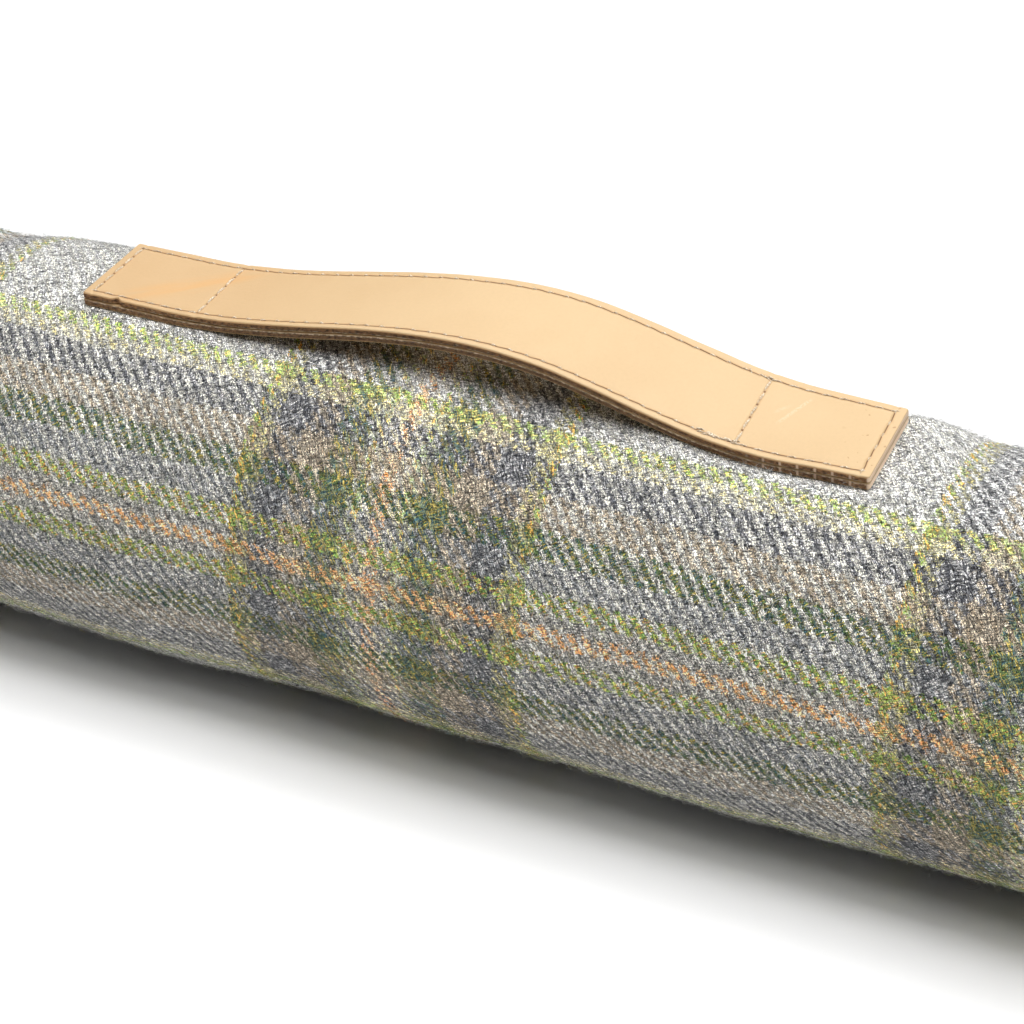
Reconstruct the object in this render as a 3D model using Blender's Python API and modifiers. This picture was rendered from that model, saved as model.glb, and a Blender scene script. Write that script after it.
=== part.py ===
"""Draught excluder: a long roll of wool check cloth, stuffed hard, with a flat leather carry handle.

Metres, +Z up. The roll lies along X and rests on a small flat spot at z = 0. The origin is on that
flat spot, under the middle of the roll. The handle runs along the crown at the roll's middle: two
strips of leather, one on the other, sewn down at both ends and standing up in a low arch between.
"""

import math

import bmesh
import bpy
import numpy as np

# The roll of cloth
ROLL_LENGTH = 0.900
ROLL_RADIUS = 0.060
FLAT_WIDTH = 0.040  # across the flat spot that the roll rests on
AXIS_HEIGHT = math.sqrt(ROLL_RADIUS**2 - (FLAT_WIDTH / 2) ** 2)
END_DOME = 0.011  # how far a round end stands out of its seam
END_SEAM_RADIUS = 0.0555  # where the tube and the round end are sewn together
SHOULDER_RUN = 0.016  # over which the tube draws in to that seam
ROLL_SIDES = 56
SHOULDER_STEPS = 5
DOME_STEPS = 6
FINE_REACH = 0.170  # half the stretch round the handle that has close steps
FINE_STEP = 0.010
COARSE_STEP = 0.026

# Soft lumps of the filling: a row for each wave that runs along and round the roll
LUMP_COLUMNS = ("height", "waves_per_metre", "waves_round", "phase")
LUMPS = (
    (0.0005, 5.5, 2, 0.4),
    (0.0004, 9.5, 1, 2.1),
    (0.0002, 13.0, 3, 4.0),
)
LUMP_FADE = 0.050  # over which they die away towards each end

# Hollows and swells in the cloth beside the handle's ends; a swell has a negative depth
HOLLOW_COLUMNS = ("x", "angle_deg", "depth", "reach_along", "reach_round")
HOLLOWS = (
    (0.147, 104, 0.0022, 0.010, 0.034),
    (0.130, 100, -0.0012, 0.012, 0.030),
    (-0.142, 100, -0.0010, 0.016, 0.034),
    (-0.182, 104, 0.0026, 0.016, 0.046),
)

# The leather handle
HANDLE_LENGTH = 0.249  # along the roll
HANDLE_WIDTH = 0.032
LEATHER = 0.0020  # thickness of one strip
GAP = 0.0003  # left between pieces that touch
HANDLE_Y = -0.0037  # the strip's middle line lies a little to the front of the crown
LEFT_RISE = -0.0008  # of the underside over the crown, where the sewn end presses into the cloth
RIGHT_RISE = -0.0017
ARCH_RISE = 0.0120  # at the top of the arch
ARCH_PLACE = 0.0115  # of the arch's top, from the middle of the roll
LEFT_RUN = 0.1093  # from the arch's top down to the sewn end
RIGHT_RUN = 0.0889
LEFT_LEAN = math.radians(6.2)  # the strip leans to the front, and more towards its right end
RIGHT_LEAN = math.radians(9.5)
LEAN_FROM = -0.129
LEAN_TO = 0.018
TWIST = math.radians(8.8)  # added where the strip is twisted, between the arch and its right end
TWIST_PLACE = 0.059
TWIST_REACH = 0.050
HANDLE_STEPS = 60
HANDLE_CROSS_STEPS = 6
EDGE_ROUND = 0.0004
SEAT_BLEND = 0.0006  # how softly the cloth turns from its round into the pressed seat
SEAT_MARGIN = 0.010  # past the strip's edges, over which the seat fades out
SEWN_FROM = 0.070  # from the middle to where the stitches start to draw the cloth up to the leather
SEWN_TO = 0.084

COLLECTION = "DraughtExcluder"


def material(name, color, roughness):
    """A Principled material of one colour."""
    made = bpy.data.materials.new(name)
    made.use_nodes = True
    shader = made.node_tree.nodes["Principled BSDF"]
    shader.inputs["Base Color"].default_value = (*color, 1.0)
    shader.inputs["Roughness"].default_value = roughness
    shader.inputs["Metallic"].default_value = 0.0
    return made


def smooth_step(value):
    """0 below 0, 1 above 1, and a soft turn between."""
    value = np.clip(value, 0.0, 1.0)
    return value * value * (3.0 - 2.0 * value)


def handle_rise(along):
    """Height of the handle's underside over the roll's crown, on its middle line.

    Half a cosine wave runs from the arch's top down to each sewn end.
    """
    from_top = along - ARCH_PLACE
    share = np.where(from_top < 0, -from_top / LEFT_RUN, from_top / RIGHT_RUN)
    foot = np.where(from_top < 0, LEFT_RISE, RIGHT_RISE)
    return foot + (ARCH_RISE - foot) * (0.5 + 0.5 * np.cos(np.pi * np.minimum(share, 1.0)))


def handle_tilt(along):
    """How far the handle leans to the front: a soft step, and a gaussian where it is twisted."""
    lean = smooth_step((along - LEAN_FROM) / (LEAN_TO - LEAN_FROM))
    twist = np.exp(-(((along - TWIST_PLACE) / TWIST_REACH) ** 2))
    return LEFT_LEAN + (RIGHT_LEAN - LEFT_LEAN) * lean + TWIST * twist


def soft_min(a, b, blend):
    """The lower of two heights, with the corner between them rounded."""
    return 0.5 * (a + b - np.sqrt((a - b) ** 2 + blend**2))


def roll_radius(x, angle):
    """Radius of the stuffed cloth. The angle is measured at the axis, from the front (-Y) upwards."""
    lump = np.zeros_like(x)
    for row in LUMPS:
        wave = dict(zip(LUMP_COLUMNS, row))
        turn = 2 * np.pi * wave["waves_per_metre"] * x + wave["waves_round"] * angle + wave["phase"]
        lump += wave["height"] * np.sin(turn)
    lump *= smooth_step((ROLL_LENGTH / 2 - END_DOME - np.abs(x)) / LUMP_FADE)
    for row in HOLLOWS:
        dent = dict(zip(HOLLOW_COLUMNS, row))
        along = (x - dent["x"]) / dent["reach_along"]
        away = np.angle(np.exp(1j * (angle - math.radians(dent["angle_deg"])))) * ROLL_RADIUS
        lump -= dent["depth"] * np.exp(-(along**2) - (away / dent["reach_round"]) ** 2)
    return ROLL_RADIUS + lump


def end_profile():
    """Distance along the axis and radius, from the tube's full width to the pole of one round end.

    The tube draws in on a quarter ellipse to the seam, and the sewn round end swells out of it on
    another, so the seam lies in a crease.
    """
    seam = ROLL_LENGTH / 2 - END_DOME
    draw = np.linspace(0.0, math.pi / 2, SHOULDER_STEPS + 1)
    dome = np.linspace(0.0, math.pi / 2, DOME_STEPS + 1)[1:]
    x = [seam - SHOULDER_RUN * (1.0 - np.sin(draw)), seam + END_DOME * np.sin(dome)]
    shrink = (ROLL_RADIUS - END_SEAM_RADIUS) * (1.0 - np.cos(draw))
    radius = [ROLL_RADIUS - shrink, END_SEAM_RADIUS * np.cos(dome)]
    return np.concatenate(x), np.concatenate(radius)


def even_steps(start, stop, step):
    """Even stations from start up to stop, as near to the wanted step as they fit, without stop."""
    return np.linspace(start, stop, round((stop - start) / step), endpoint=False)


def roll_profile():
    """The outline that turns into the roll, from one pole to the other.

    It has close steps round the handle, and one just past each end of the leather.
    """
    end_x, end_radius = end_profile()
    leather_end = HANDLE_LENGTH / 2 + 2 * GAP
    under = even_steps(-leather_end, leather_end, FINE_STEP)[1:]
    beside = even_steps(leather_end + SEAT_MARGIN, FINE_REACH, FINE_STEP)
    coarse = even_steps(FINE_REACH, end_x[0], COARSE_STEP)
    outer = np.concatenate([[leather_end], beside, coarse])
    body = np.concatenate([-outer[::-1], under, outer])
    x = np.concatenate([-end_x[::-1], body, end_x])
    radius = np.concatenate([end_radius[::-1], np.full(len(body), ROLL_RADIUS), end_radius])
    return x, radius


def seat(x, y, z):
    """Fits the crown to the handle, whose sewn ends press it in or draw it up to the leather."""
    half = HANDLE_WIDTH / 2
    across = y - HANDLE_Y
    slope = np.tan(handle_tilt(x))
    under = ROLL_RADIUS + handle_rise(x) - GAP
    outside = np.maximum(np.abs(x) - HANDLE_LENGTH / 2, np.abs(across) - half)
    held = 1.0 - smooth_step((outside - 2 * GAP) / SEAT_MARGIN)
    pressed = z + (soft_min(z, under + across * slope, SEAT_BLEND) - z) * held
    sewn = smooth_step((np.abs(x) - SEWN_FROM) / (SEWN_TO - SEWN_FROM))
    drawn = np.maximum(under + np.clip(across, -half, half) * slope - pressed, 0.0) * sewn * held
    return np.where(z > 0, pressed + drawn, z)


def shape_roll(points, profile_radius):
    """Places the points of the turned roll on the stuffed, resting and sewn shape.

    The points come in round the axis. Each moves out or in with the lumps, then the floor flattens
    those below it, and the handle's sewn ends press in or draw up those under it.
    """
    x, y, z = points.T
    angle = np.arctan2(z, -y)
    radius = profile_radius * roll_radius(x, angle) / ROLL_RADIUS
    y = -radius * np.cos(angle)
    z = np.maximum(radius * np.sin(angle), -AXIS_HEIGHT)
    return np.column_stack([x, y, seat(x, y, z)])


def make_roll(collection):
    """The filled tube of cloth with its sewn round ends, as one turned and shaped solid."""
    x, radius = roll_profile()
    shape = bmesh.new()
    outline = [shape.verts.new((px, -pr, 0.0)) for px, pr in zip(x, radius)]
    edges = [shape.edges.new(pair) for pair in zip(outline, outline[1:])]
    bmesh.ops.spin(
        shape,
        geom=outline + edges,
        cent=(0.0, 0.0, 0.0),
        axis=(1.0, 0.0, 0.0),
        angle=2 * math.pi,
        steps=ROLL_SIDES,
        use_merge=True,
    )
    bmesh.ops.remove_doubles(shape, verts=shape.verts, dist=1e-5)
    points = np.array([vert.co for vert in shape.verts])
    points = shape_roll(points, np.hypot(points[:, 1], points[:, 2]))
    for vert, place in zip(shape.verts, points):
        vert.co = place
    bmesh.ops.recalc_face_normals(shape, faces=shape.faces)
    mesh = bpy.data.meshes.new("stuffed_roll")
    shape.to_mesh(mesh)
    shape.free()
    mesh.shade_smooth()
    roll = bpy.data.objects.new("stuffed_roll", mesh)
    roll.location = (0.0, 0.0, AXIS_HEIGHT)
    mesh.materials.append(material("wool_check", (0.30, 0.31, 0.27), 0.95))
    collection.objects.link(roll)
    return roll


def make_leather(name, lift, stand, color, collection):
    """One leather strip of the handle.

    An even grid is bent along the arch, with its underside lift above the handle's own underside,
    then thickened. It hangs on the empty at the crown.
    """
    shape = bmesh.new()
    bmesh.ops.create_grid(
        shape, x_segments=HANDLE_STEPS, y_segments=HANDLE_CROSS_STEPS, size=0.5
    )
    grid = np.array([vert.co for vert in shape.verts])
    along = grid[:, 0] * HANDLE_LENGTH
    across = grid[:, 1] * HANDLE_WIDTH
    tiny = 1e-5
    slope = (handle_rise(along + tiny) - handle_rise(along - tiny)) / (2 * tiny)
    tilt = handle_tilt(along)
    up = np.column_stack([-slope, -np.sin(tilt), np.cos(tilt)])
    up /= np.linalg.norm(up, axis=1)[:, None]
    foot = np.column_stack(
        [along, HANDLE_Y + across * np.cos(tilt), handle_rise(along) + across * np.sin(tilt)]
    )
    for vert, place in zip(shape.verts, foot + up * lift):
        vert.co = place
    mesh = bpy.data.meshes.new(name)
    shape.to_mesh(mesh)
    shape.free()
    mesh.shade_smooth()
    mesh.materials.append(material(name, color, 0.55))
    strip = bpy.data.objects.new(name, mesh)
    strip.parent = stand
    collection.objects.link(strip)
    thicken = strip.modifiers.new("Thickness", "SOLIDIFY")
    thicken.thickness = LEATHER
    thicken.offset = 1.0
    thicken.use_even_offset = True
    rounded = strip.modifiers.new("Edges", "BEVEL")
    rounded.width = EDGE_ROUND
    rounded.segments = 2
    rounded.limit_method = "ANGLE"
    rounded.harden_normals = True
    return strip


def main():
    for old in list(bpy.data.objects):
        bpy.data.objects.remove(old, do_unlink=True)
    parts = bpy.data.collections.new(COLLECTION)
    bpy.context.scene.collection.children.link(parts)
    make_roll(parts)
    stand = bpy.data.objects.new("handle", None)
    stand.location = (0.0, 0.0, AXIS_HEIGHT + ROLL_RADIUS)
    parts.objects.link(stand)
    make_leather("handle_under", 0.0, stand, (0.72, 0.45, 0.24), parts)
    make_leather("handle_upper", LEATHER + GAP, stand, (0.84, 0.58, 0.33), parts)


main()
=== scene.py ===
"""Looks of the draught excluder: wool check cloth, its nap, the sewn leather handle, light and camera.

Metres, +Z up. The roll lies along X on the floor at z = 0, with the leather handle along its crown.
"""

import logging
import math
from collections.abc import Sequence
from dataclasses import dataclass, field
from enum import Enum

import bpy
import numpy as np
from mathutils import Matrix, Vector


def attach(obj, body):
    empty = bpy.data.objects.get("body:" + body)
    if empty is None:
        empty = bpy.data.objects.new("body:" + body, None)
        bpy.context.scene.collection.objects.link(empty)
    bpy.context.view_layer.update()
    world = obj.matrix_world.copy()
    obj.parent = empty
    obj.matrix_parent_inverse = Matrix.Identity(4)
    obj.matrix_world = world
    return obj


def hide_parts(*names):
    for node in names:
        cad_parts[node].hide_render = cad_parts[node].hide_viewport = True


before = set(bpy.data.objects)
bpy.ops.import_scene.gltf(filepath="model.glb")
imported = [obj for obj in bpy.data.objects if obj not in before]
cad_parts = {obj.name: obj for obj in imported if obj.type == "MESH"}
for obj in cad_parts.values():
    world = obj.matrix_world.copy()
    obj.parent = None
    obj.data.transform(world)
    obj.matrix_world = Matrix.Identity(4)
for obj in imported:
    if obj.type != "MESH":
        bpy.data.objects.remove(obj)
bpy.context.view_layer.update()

LOG = logging.getLogger("draught_excluder")
BODY = "root"
MM = 0.001


# ---------------------------------------------------------------- shape maths


def smooth_step(value: np.ndarray) -> np.ndarray:
    """0 below 0, 1 above 1, and 3v^2 - 2v^3 between."""
    value = np.clip(value, 0.0, 1.0)
    return value * value * (3.0 - 2.0 * value)


def soft_min(a: np.ndarray, b: np.ndarray, blend: float) -> np.ndarray:
    """The lower of two heights with the corner rounded: half of a + b - sqrt((a - b)^2 + blend^2)."""
    return 0.5 * (a + b - np.sqrt((a - b) ** 2 + blend**2))


def unit(vectors: np.ndarray) -> np.ndarray:
    """Each vector divided by its own length."""
    return vectors / np.linalg.norm(vectors, axis=-1, keepdims=True)


def ripple(u: np.ndarray, v: np.ndarray, wave: float, seed: int, count: int = 9) -> np.ndarray:
    """Smooth unevenness between about -1 and 1: a sum of seeded sines of u and v.

    Each sine runs in a direction of its own, with a length near wave.

    Args:
        u: first coordinate, in metres.
        v: second coordinate, in metres.
        wave: typical wave length, in metres.
        seed: the same seed gives the same ripples.
        count: how many sines are added.

    Returns:
        The height at each (u, v).
    """
    rng = np.random.default_rng(seed)
    turns = rng.uniform(0, 2 * np.pi, count)
    lengths = wave * rng.uniform(0.7, 1.5, count)
    phases = rng.uniform(0, 2 * np.pi, count)
    along = np.multiply.outer(u, np.cos(turns) / lengths) + np.multiply.outer(v, np.sin(turns) / lengths)
    return np.sin(2 * np.pi * along + phases).sum(-1) / math.sqrt(2 * count)


def grid_faces(rows: int, columns: int, wrap: bool) -> np.ndarray:
    """The quads of a grid of points numbered row by row.

    Args:
        rows: number of rows of points.
        columns: number of points in each row.
        wrap: True if the last column is joined to the first.

    Returns:
        Four point numbers for each quad.
    """
    row = np.arange(rows - 1)[:, None] * columns
    first = np.arange(columns if wrap else columns - 1)
    after = (first + 1) % columns
    quads = np.stack([row + first, row + after, row + columns + after, row + columns + first], -1)
    return quads.reshape(-1, 4)


def write_mesh(
    name: str, points: np.ndarray, faces: Sequence[np.ndarray], sharp_deg: float = 60.0
) -> bpy.types.Object:
    """A smooth-shaded object at the origin from arrays of points and faces.

    Args:
        name: the piece's name.
        points: one row of x, y, z for each vertex.
        faces: one array for each kind of face, with a row of vertex numbers for each face.
        sharp_deg: edges that turn more than this are left sharp.

    Returns:
        The new object.
    """
    mesh = bpy.data.meshes.new(name)
    corners = np.concatenate([f.ravel() for f in faces]).astype(np.int32)
    counts = np.concatenate([np.full(len(f), f.shape[1]) for f in faces])
    starts = np.concatenate([[0], np.cumsum(counts)[:-1]]).astype(np.int32)
    mesh.vertices.add(len(points))
    mesh.vertices.foreach_set("co", points.astype(np.float32).ravel())
    mesh.loops.add(len(corners))
    mesh.loops.foreach_set("vertex_index", corners)
    mesh.polygons.add(len(starts))
    mesh.polygons.foreach_set("loop_start", starts)
    mesh.update(calc_edges=True)
    mesh.shade_smooth()
    mesh.set_sharp_from_angle(angle=math.radians(sharp_deg))
    made = bpy.data.objects.new(name, mesh)
    bpy.context.scene.collection.objects.link(made)
    return made


def give_map(piece: bpy.types.Object, name: str, corner_places: np.ndarray) -> None:
    """Adds a UV map.

    Args:
        piece: the piece that gets it.
        name: the map's name.
        corner_places: one (u, v) for each face corner.
    """
    layer = piece.data.uv_layers.new(name=name)
    layer.data.foreach_set("uv", corner_places.astype(np.float32).ravel())


def give_number(piece: bpy.types.Object, name: str, values: np.ndarray) -> None:
    """Adds a number to each vertex under this attribute name."""
    made = piece.data.attributes.new(name, "FLOAT", "POINT")
    made.data.foreach_set("value", values.astype(np.float32).ravel())


def give_colour(piece: bpy.types.Object, name: str, colours: np.ndarray) -> None:
    """Adds a colour to each vertex.

    Args:
        piece: the piece that gets them.
        name: the attribute's name.
        colours: one linear red, green and blue for each vertex.
    """
    made = piece.data.color_attributes.new(name, "FLOAT_COLOR", "POINT")
    full = np.column_stack([colours, np.ones(len(colours))])
    made.data.foreach_set("color", full.astype(np.float32).ravel())


def linear(rgb: Sequence[float]) -> tuple[float, float, float]:
    """An sRGB colour from 0 to 255 as the linear colour that a shader takes."""
    part = np.asarray(rgb, float) / 255
    return tuple(float(v) for v in np.where(part <= 0.04045, part / 12.92, ((part + 0.055) / 1.055) ** 2.4))


# ---------------------------------------------------------------- shader maths


class Value:
    """A socket of a material's node tree. Arithmetic on it adds Math nodes."""

    def __init__(self, bench: "Bench", socket: bpy.types.NodeSocket) -> None:
        """Wraps one output socket."""
        self.bench = bench
        self.socket = socket

    def output(self, name: str) -> "Value":
        """Another output of the same node."""
        return Value(self.bench, self.socket.node.outputs[name])

    def _math(self, operation: str, *values: "float | Value") -> "Value":
        """A Math node on these values."""
        return self.bench.add("Math", {"operation": operation}, dict(enumerate(values)))

    def __add__(self, other: "float | Value") -> "Value":
        """self + other."""
        return self._math("ADD", self, other)

    __radd__ = __add__

    def __sub__(self, other: "float | Value") -> "Value":
        """self - other."""
        return self._math("SUBTRACT", self, other)

    def __rsub__(self, other: "float | Value") -> "Value":
        """other - self."""
        return self._math("SUBTRACT", other, self)

    def __mul__(self, other: "float | Value") -> "Value":
        """self * other."""
        return self._math("MULTIPLY", self, other)

    __rmul__ = __mul__

    def __truediv__(self, other: "float | Value") -> "Value":
        """self / other."""
        return self._math("DIVIDE", self, other)

    def __rtruediv__(self, other: "float | Value") -> "Value":
        """other / self."""
        return self._math("DIVIDE", other, self)

    def __abs__(self) -> "Value":
        """The size of self, without its sign."""
        return self._math("ABSOLUTE", self)

    def floor(self) -> "Value":
        """The whole number at or below self."""
        return self._math("FLOOR", self)

    def sine(self) -> "Value":
        """The sine of self, in radians."""
        return self._math("SINE", self)

    def pingpong(self, scale: float) -> "Value":
        """Rises from 0 to scale and falls back, again and again."""
        return self._math("PINGPONG", self, scale)

    def larger(self, other: "float | Value") -> "Value":
        """The larger of self and other."""
        return self._math("MAXIMUM", self, other)

    def smaller(self, other: "float | Value") -> "Value":
        """The smaller of self and other."""
        return self._math("MINIMUM", self, other)

    def between(self, low: float, high: float) -> "Value":
        """A soft step from one value of self to another.

        Args:
            low: where the step is 0.
            high: where it is 1. With low above high the step falls instead.

        Returns:
            The step.
        """
        falls = low > high
        ends = {"From Min": min(low, high), "From Max": max(low, high)}
        goes = {"To Min": float(falls), "To Max": float(not falls)}
        settings = {"interpolation_type": "SMOOTHSTEP"}
        return self.bench.add("MapRange", settings, {"Value": self, **ends, **goes})


class Bench:
    """One material in the making. Its add method makes every node."""

    def __init__(self, name: str) -> None:
        """Starts an empty material.

        Args:
            name: the material's name.
        """
        self.material = bpy.data.materials.new(name)
        self.material.use_nodes = True
        self.tree = self.material.node_tree
        self.tree.nodes.clear()

    def add(
        self,
        kind: str,
        settings: dict | None = None,
        inputs: dict | None = None,
        output: int | str = 0,
    ) -> Value:
        """Adds a node.

        Args:
            kind: the node's type, without ShaderNode.
            settings: the node's own properties, set first. "stops" is a colour ramp's list of
                (position, colour).
            inputs: a number, colour or Value for each socket, by name or number.
            output: which output is returned.

        Returns:
            The wanted output.
        """
        node = self.tree.nodes.new("ShaderNode" + kind)
        for key, setting in (settings or {}).items():
            if key == "stops":
                self._set_stops(node.color_ramp, setting)
            else:
                setattr(node, key, setting)
        for key, given in (inputs or {}).items():
            socket = node.inputs[key]
            if isinstance(given, Value):
                self.tree.links.new(given.socket, socket)
            elif isinstance(given, Sequence) and socket.type == "RGBA":
                socket.default_value = (*given, 1.0)
            else:
                socket.default_value = given
        return Value(self, node.outputs[output] if len(node.outputs) else None)

    @staticmethod
    def _set_stops(ramp: bpy.types.ColorRamp, stops: Sequence[tuple]) -> None:
        """Fills a ramp.

        Args:
            ramp: the ramp of a new node.
            stops: a position and a colour for each, which holds up to the next one.
        """
        ramp.interpolation = "CONSTANT"
        while len(ramp.elements) < len(stops):
            ramp.elements.new(1.0)
        for element, (position, colour) in zip(ramp.elements, stops, strict=True):
            element.position = position
            element.color = (*colour, 1.0)

    def map(self, name: str) -> tuple[Value, Value]:
        """The two coordinates of the piece's own UV map of this name."""
        place = self.add("SeparateXYZ", inputs={0: self.add("UVMap", {"uv_map": name})})
        return place.output("X"), place.output("Y")

    def vector(self, x: "float | Value", y: "float | Value", z: "float | Value" = 0.0) -> Value:
        """Three numbers as one vector."""
        return self.add("CombineXYZ", inputs={0: x, 1: y, 2: z})

    def noise(self, place: Value, scale: float, detail: float = 2.0, roughness: float = 0.5) -> Value:
        """Noise from 0 to 1 at a place, with features about 1 / scale long."""
        inputs = {"Vector": place, "Scale": scale, "Detail": detail, "Roughness": roughness}
        return self.add("TexNoise", inputs=inputs)

    def blend(
        self, factor: "float | Value", a: "Sequence | Value", b: "Sequence | Value", how: str = "MIX"
    ) -> Value:
        """Colour a where factor is 0 and b, or their product and so on, where it is 1."""
        settings = {"data_type": "RGBA", "blend_type": how}
        return self.add("Mix", settings, {0: factor, 6: a, 7: b}, output=2)

    def shaded(self, colour: Value, amount: Value) -> Value:
        """A colour multiplied by a number."""
        grey = self.add("CombineColor", inputs=dict.fromkeys(range(3), amount))
        return self.blend(1.0, colour, grey, "MULTIPLY")

    def finish(self, shader: dict, height: Value | None = None) -> bpy.types.Material:
        """Ends the material in a Principled shader.

        Args:
            shader: the Principled shader's sockets.
            height: the surface's own relief in millimetres, which becomes a bump.

        Returns:
            The finished material.
        """
        inputs = dict(shader)
        if height is not None:
            bump = {"Height": height, "Distance": MM, "Strength": 1.0}
            inputs["Normal"] = self.add("Bump", inputs=bump)
        surface = self.add("BsdfPrincipled", inputs=inputs)
        self.add("OutputMaterial", inputs={"Surface": surface})
        return self.material


# ---------------------------------------------------------------- the check


class Yarn(Enum):
    """The dyed yarns: the colour of most fibres and of two kinds of odd ones mixed in, in sRGB.

    The first ten go round the roll, and the others along it.
    """

    PEACH = ((218, 194, 163), (236, 164, 99), (236, 225, 195))
    PEARL = ((214, 210, 201), (147, 142, 134), (234, 225, 184))
    SAGE = ((188, 194, 169), (151, 175, 95), (234, 195, 116))
    ASH = ((182, 183, 171), (119, 121, 121), (201, 199, 155))
    MOSS = ((123, 134, 103), (69, 99, 108), (190, 171, 92))
    TAUPE = ((169, 157, 139), (216, 205, 184), (106, 97, 86))
    SLATE = ((112, 113, 116), (201, 199, 195), (58, 60, 66))
    STRAW = ((171, 170, 147), (212, 200, 132), (112, 112, 103))
    CITRON = ((169, 175, 136), (145, 173, 79), (236, 186, 95))
    GROUND = ((203, 201, 191), (136, 136, 137), (232, 229, 220))
    RUST = ((232, 182, 127), (208, 147, 86), (236, 221, 175))
    GREY = ((145, 142, 134), (208, 204, 196), (86, 87, 88))
    GRASS = ((123, 155, 82), (186, 192, 101), (214, 160, 90))
    STEEL = ((124, 127, 130), (197, 196, 194), (71, 74, 78))
    GREEN = ((84, 106, 63), (60, 92, 99), (169, 151, 76))
    FAWN = ((162, 147, 125), (216, 205, 184), (110, 99, 88))
    CHARCOAL = ((95, 96, 101), (195, 194, 194), (49, 51, 58))
    CREAM = ((216, 213, 189), (153, 147, 129), (232, 217, 153))
    PRIMROSE = ((188, 201, 142), (155, 183, 92), (236, 212, 125))
    CHALK = ((214, 213, 211), (145, 146, 148), (236, 236, 232))

    @property
    def fibres(self) -> tuple[tuple[float, float, float], ...]:
        """Linear colours of the three kinds of fibre."""
        return tuple(linear(shade) for shade in self.value)


@dataclass(frozen=True)
class Sett:
    """The order of threads one way through the cloth, as a weaver charts it.

    The chart is read from the pivot outwards to the far pivot and back again.
    """

    pitch: float  # from one thread to the next
    pivot: float  # where the chart turns
    chart: tuple[tuple[Yarn, int], ...]

    @property
    def half(self) -> int:
        """Threads from one pivot to the next."""
        return sum(count for _, count in self.chart)

    def stops(self, kind: int) -> list[tuple[float, tuple[float, float, float]]]:
        """The stripes for a colour ramp.

        Args:
            kind: which of the yarns' three kinds of fibre is wanted.

        Returns:
            Where each stripe starts, as a share of the way between the pivots, with its colour.
        """
        starts = np.concatenate([[0], np.cumsum([count for _, count in self.chart])[:-1]])
        colours = [yarn.fibres[kind] for yarn, _ in self.chart]
        return [(float(start) / self.half, colour) for start, colour in zip(starts, colours, strict=True)]

    def colours_at(self, place: np.ndarray, kind: np.ndarray) -> np.ndarray:
        """Linear colour of the thread at each place.

        Args:
            place: distances across the threads, in metres.
            kind: which of the yarn's three kinds of fibre is wanted.

        Returns:
            One colour for each place.
        """
        thread = np.floor((place - self.pivot) / self.pitch) + 0.5
        away = np.abs((thread + self.half) % (2 * self.half) - self.half)
        ends = np.cumsum([count for _, count in self.chart])
        stripe = np.minimum(np.searchsorted(ends, away, side="right"), len(ends) - 1)
        return np.array([yarn.fibres for yarn, _ in self.chart])[stripe, kind]


@dataclass(frozen=True)
class Check:
    """The whole check: threads that go round the roll, and threads that run along it."""

    round_threads: Sett = Sett(
        pitch=1.07 * MM,
        pivot=-6.5 * MM,
        chart=(
            (Yarn.PEACH, 2),
            (Yarn.PEARL, 4),
            (Yarn.SAGE, 2),
            (Yarn.ASH, 2),
            (Yarn.MOSS, 9),
            (Yarn.TAUPE, 9),
            (Yarn.SLATE, 9),
            (Yarn.STRAW, 4),
            (Yarn.CITRON, 3),
            (Yarn.GROUND, 48),
        ),
    )
    long_threads: Sett = Sett(
        pitch=1.18 * MM,
        pivot=12.0 * MM,
        chart=(
            (Yarn.RUST, 2),
            (Yarn.GREY, 3),
            (Yarn.GRASS, 5),
            (Yarn.STEEL, 7),
            (Yarn.GREEN, 7),
            (Yarn.FAWN, 8),
            (Yarn.CHARCOAL, 9),
            (Yarn.CREAM, 4),
            (Yarn.PRIMROSE, 4),
            (Yarn.CHALK, 50),
        ),
    )
    drift: float = 0.0172  # how far the long threads run down for each metre along


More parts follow.
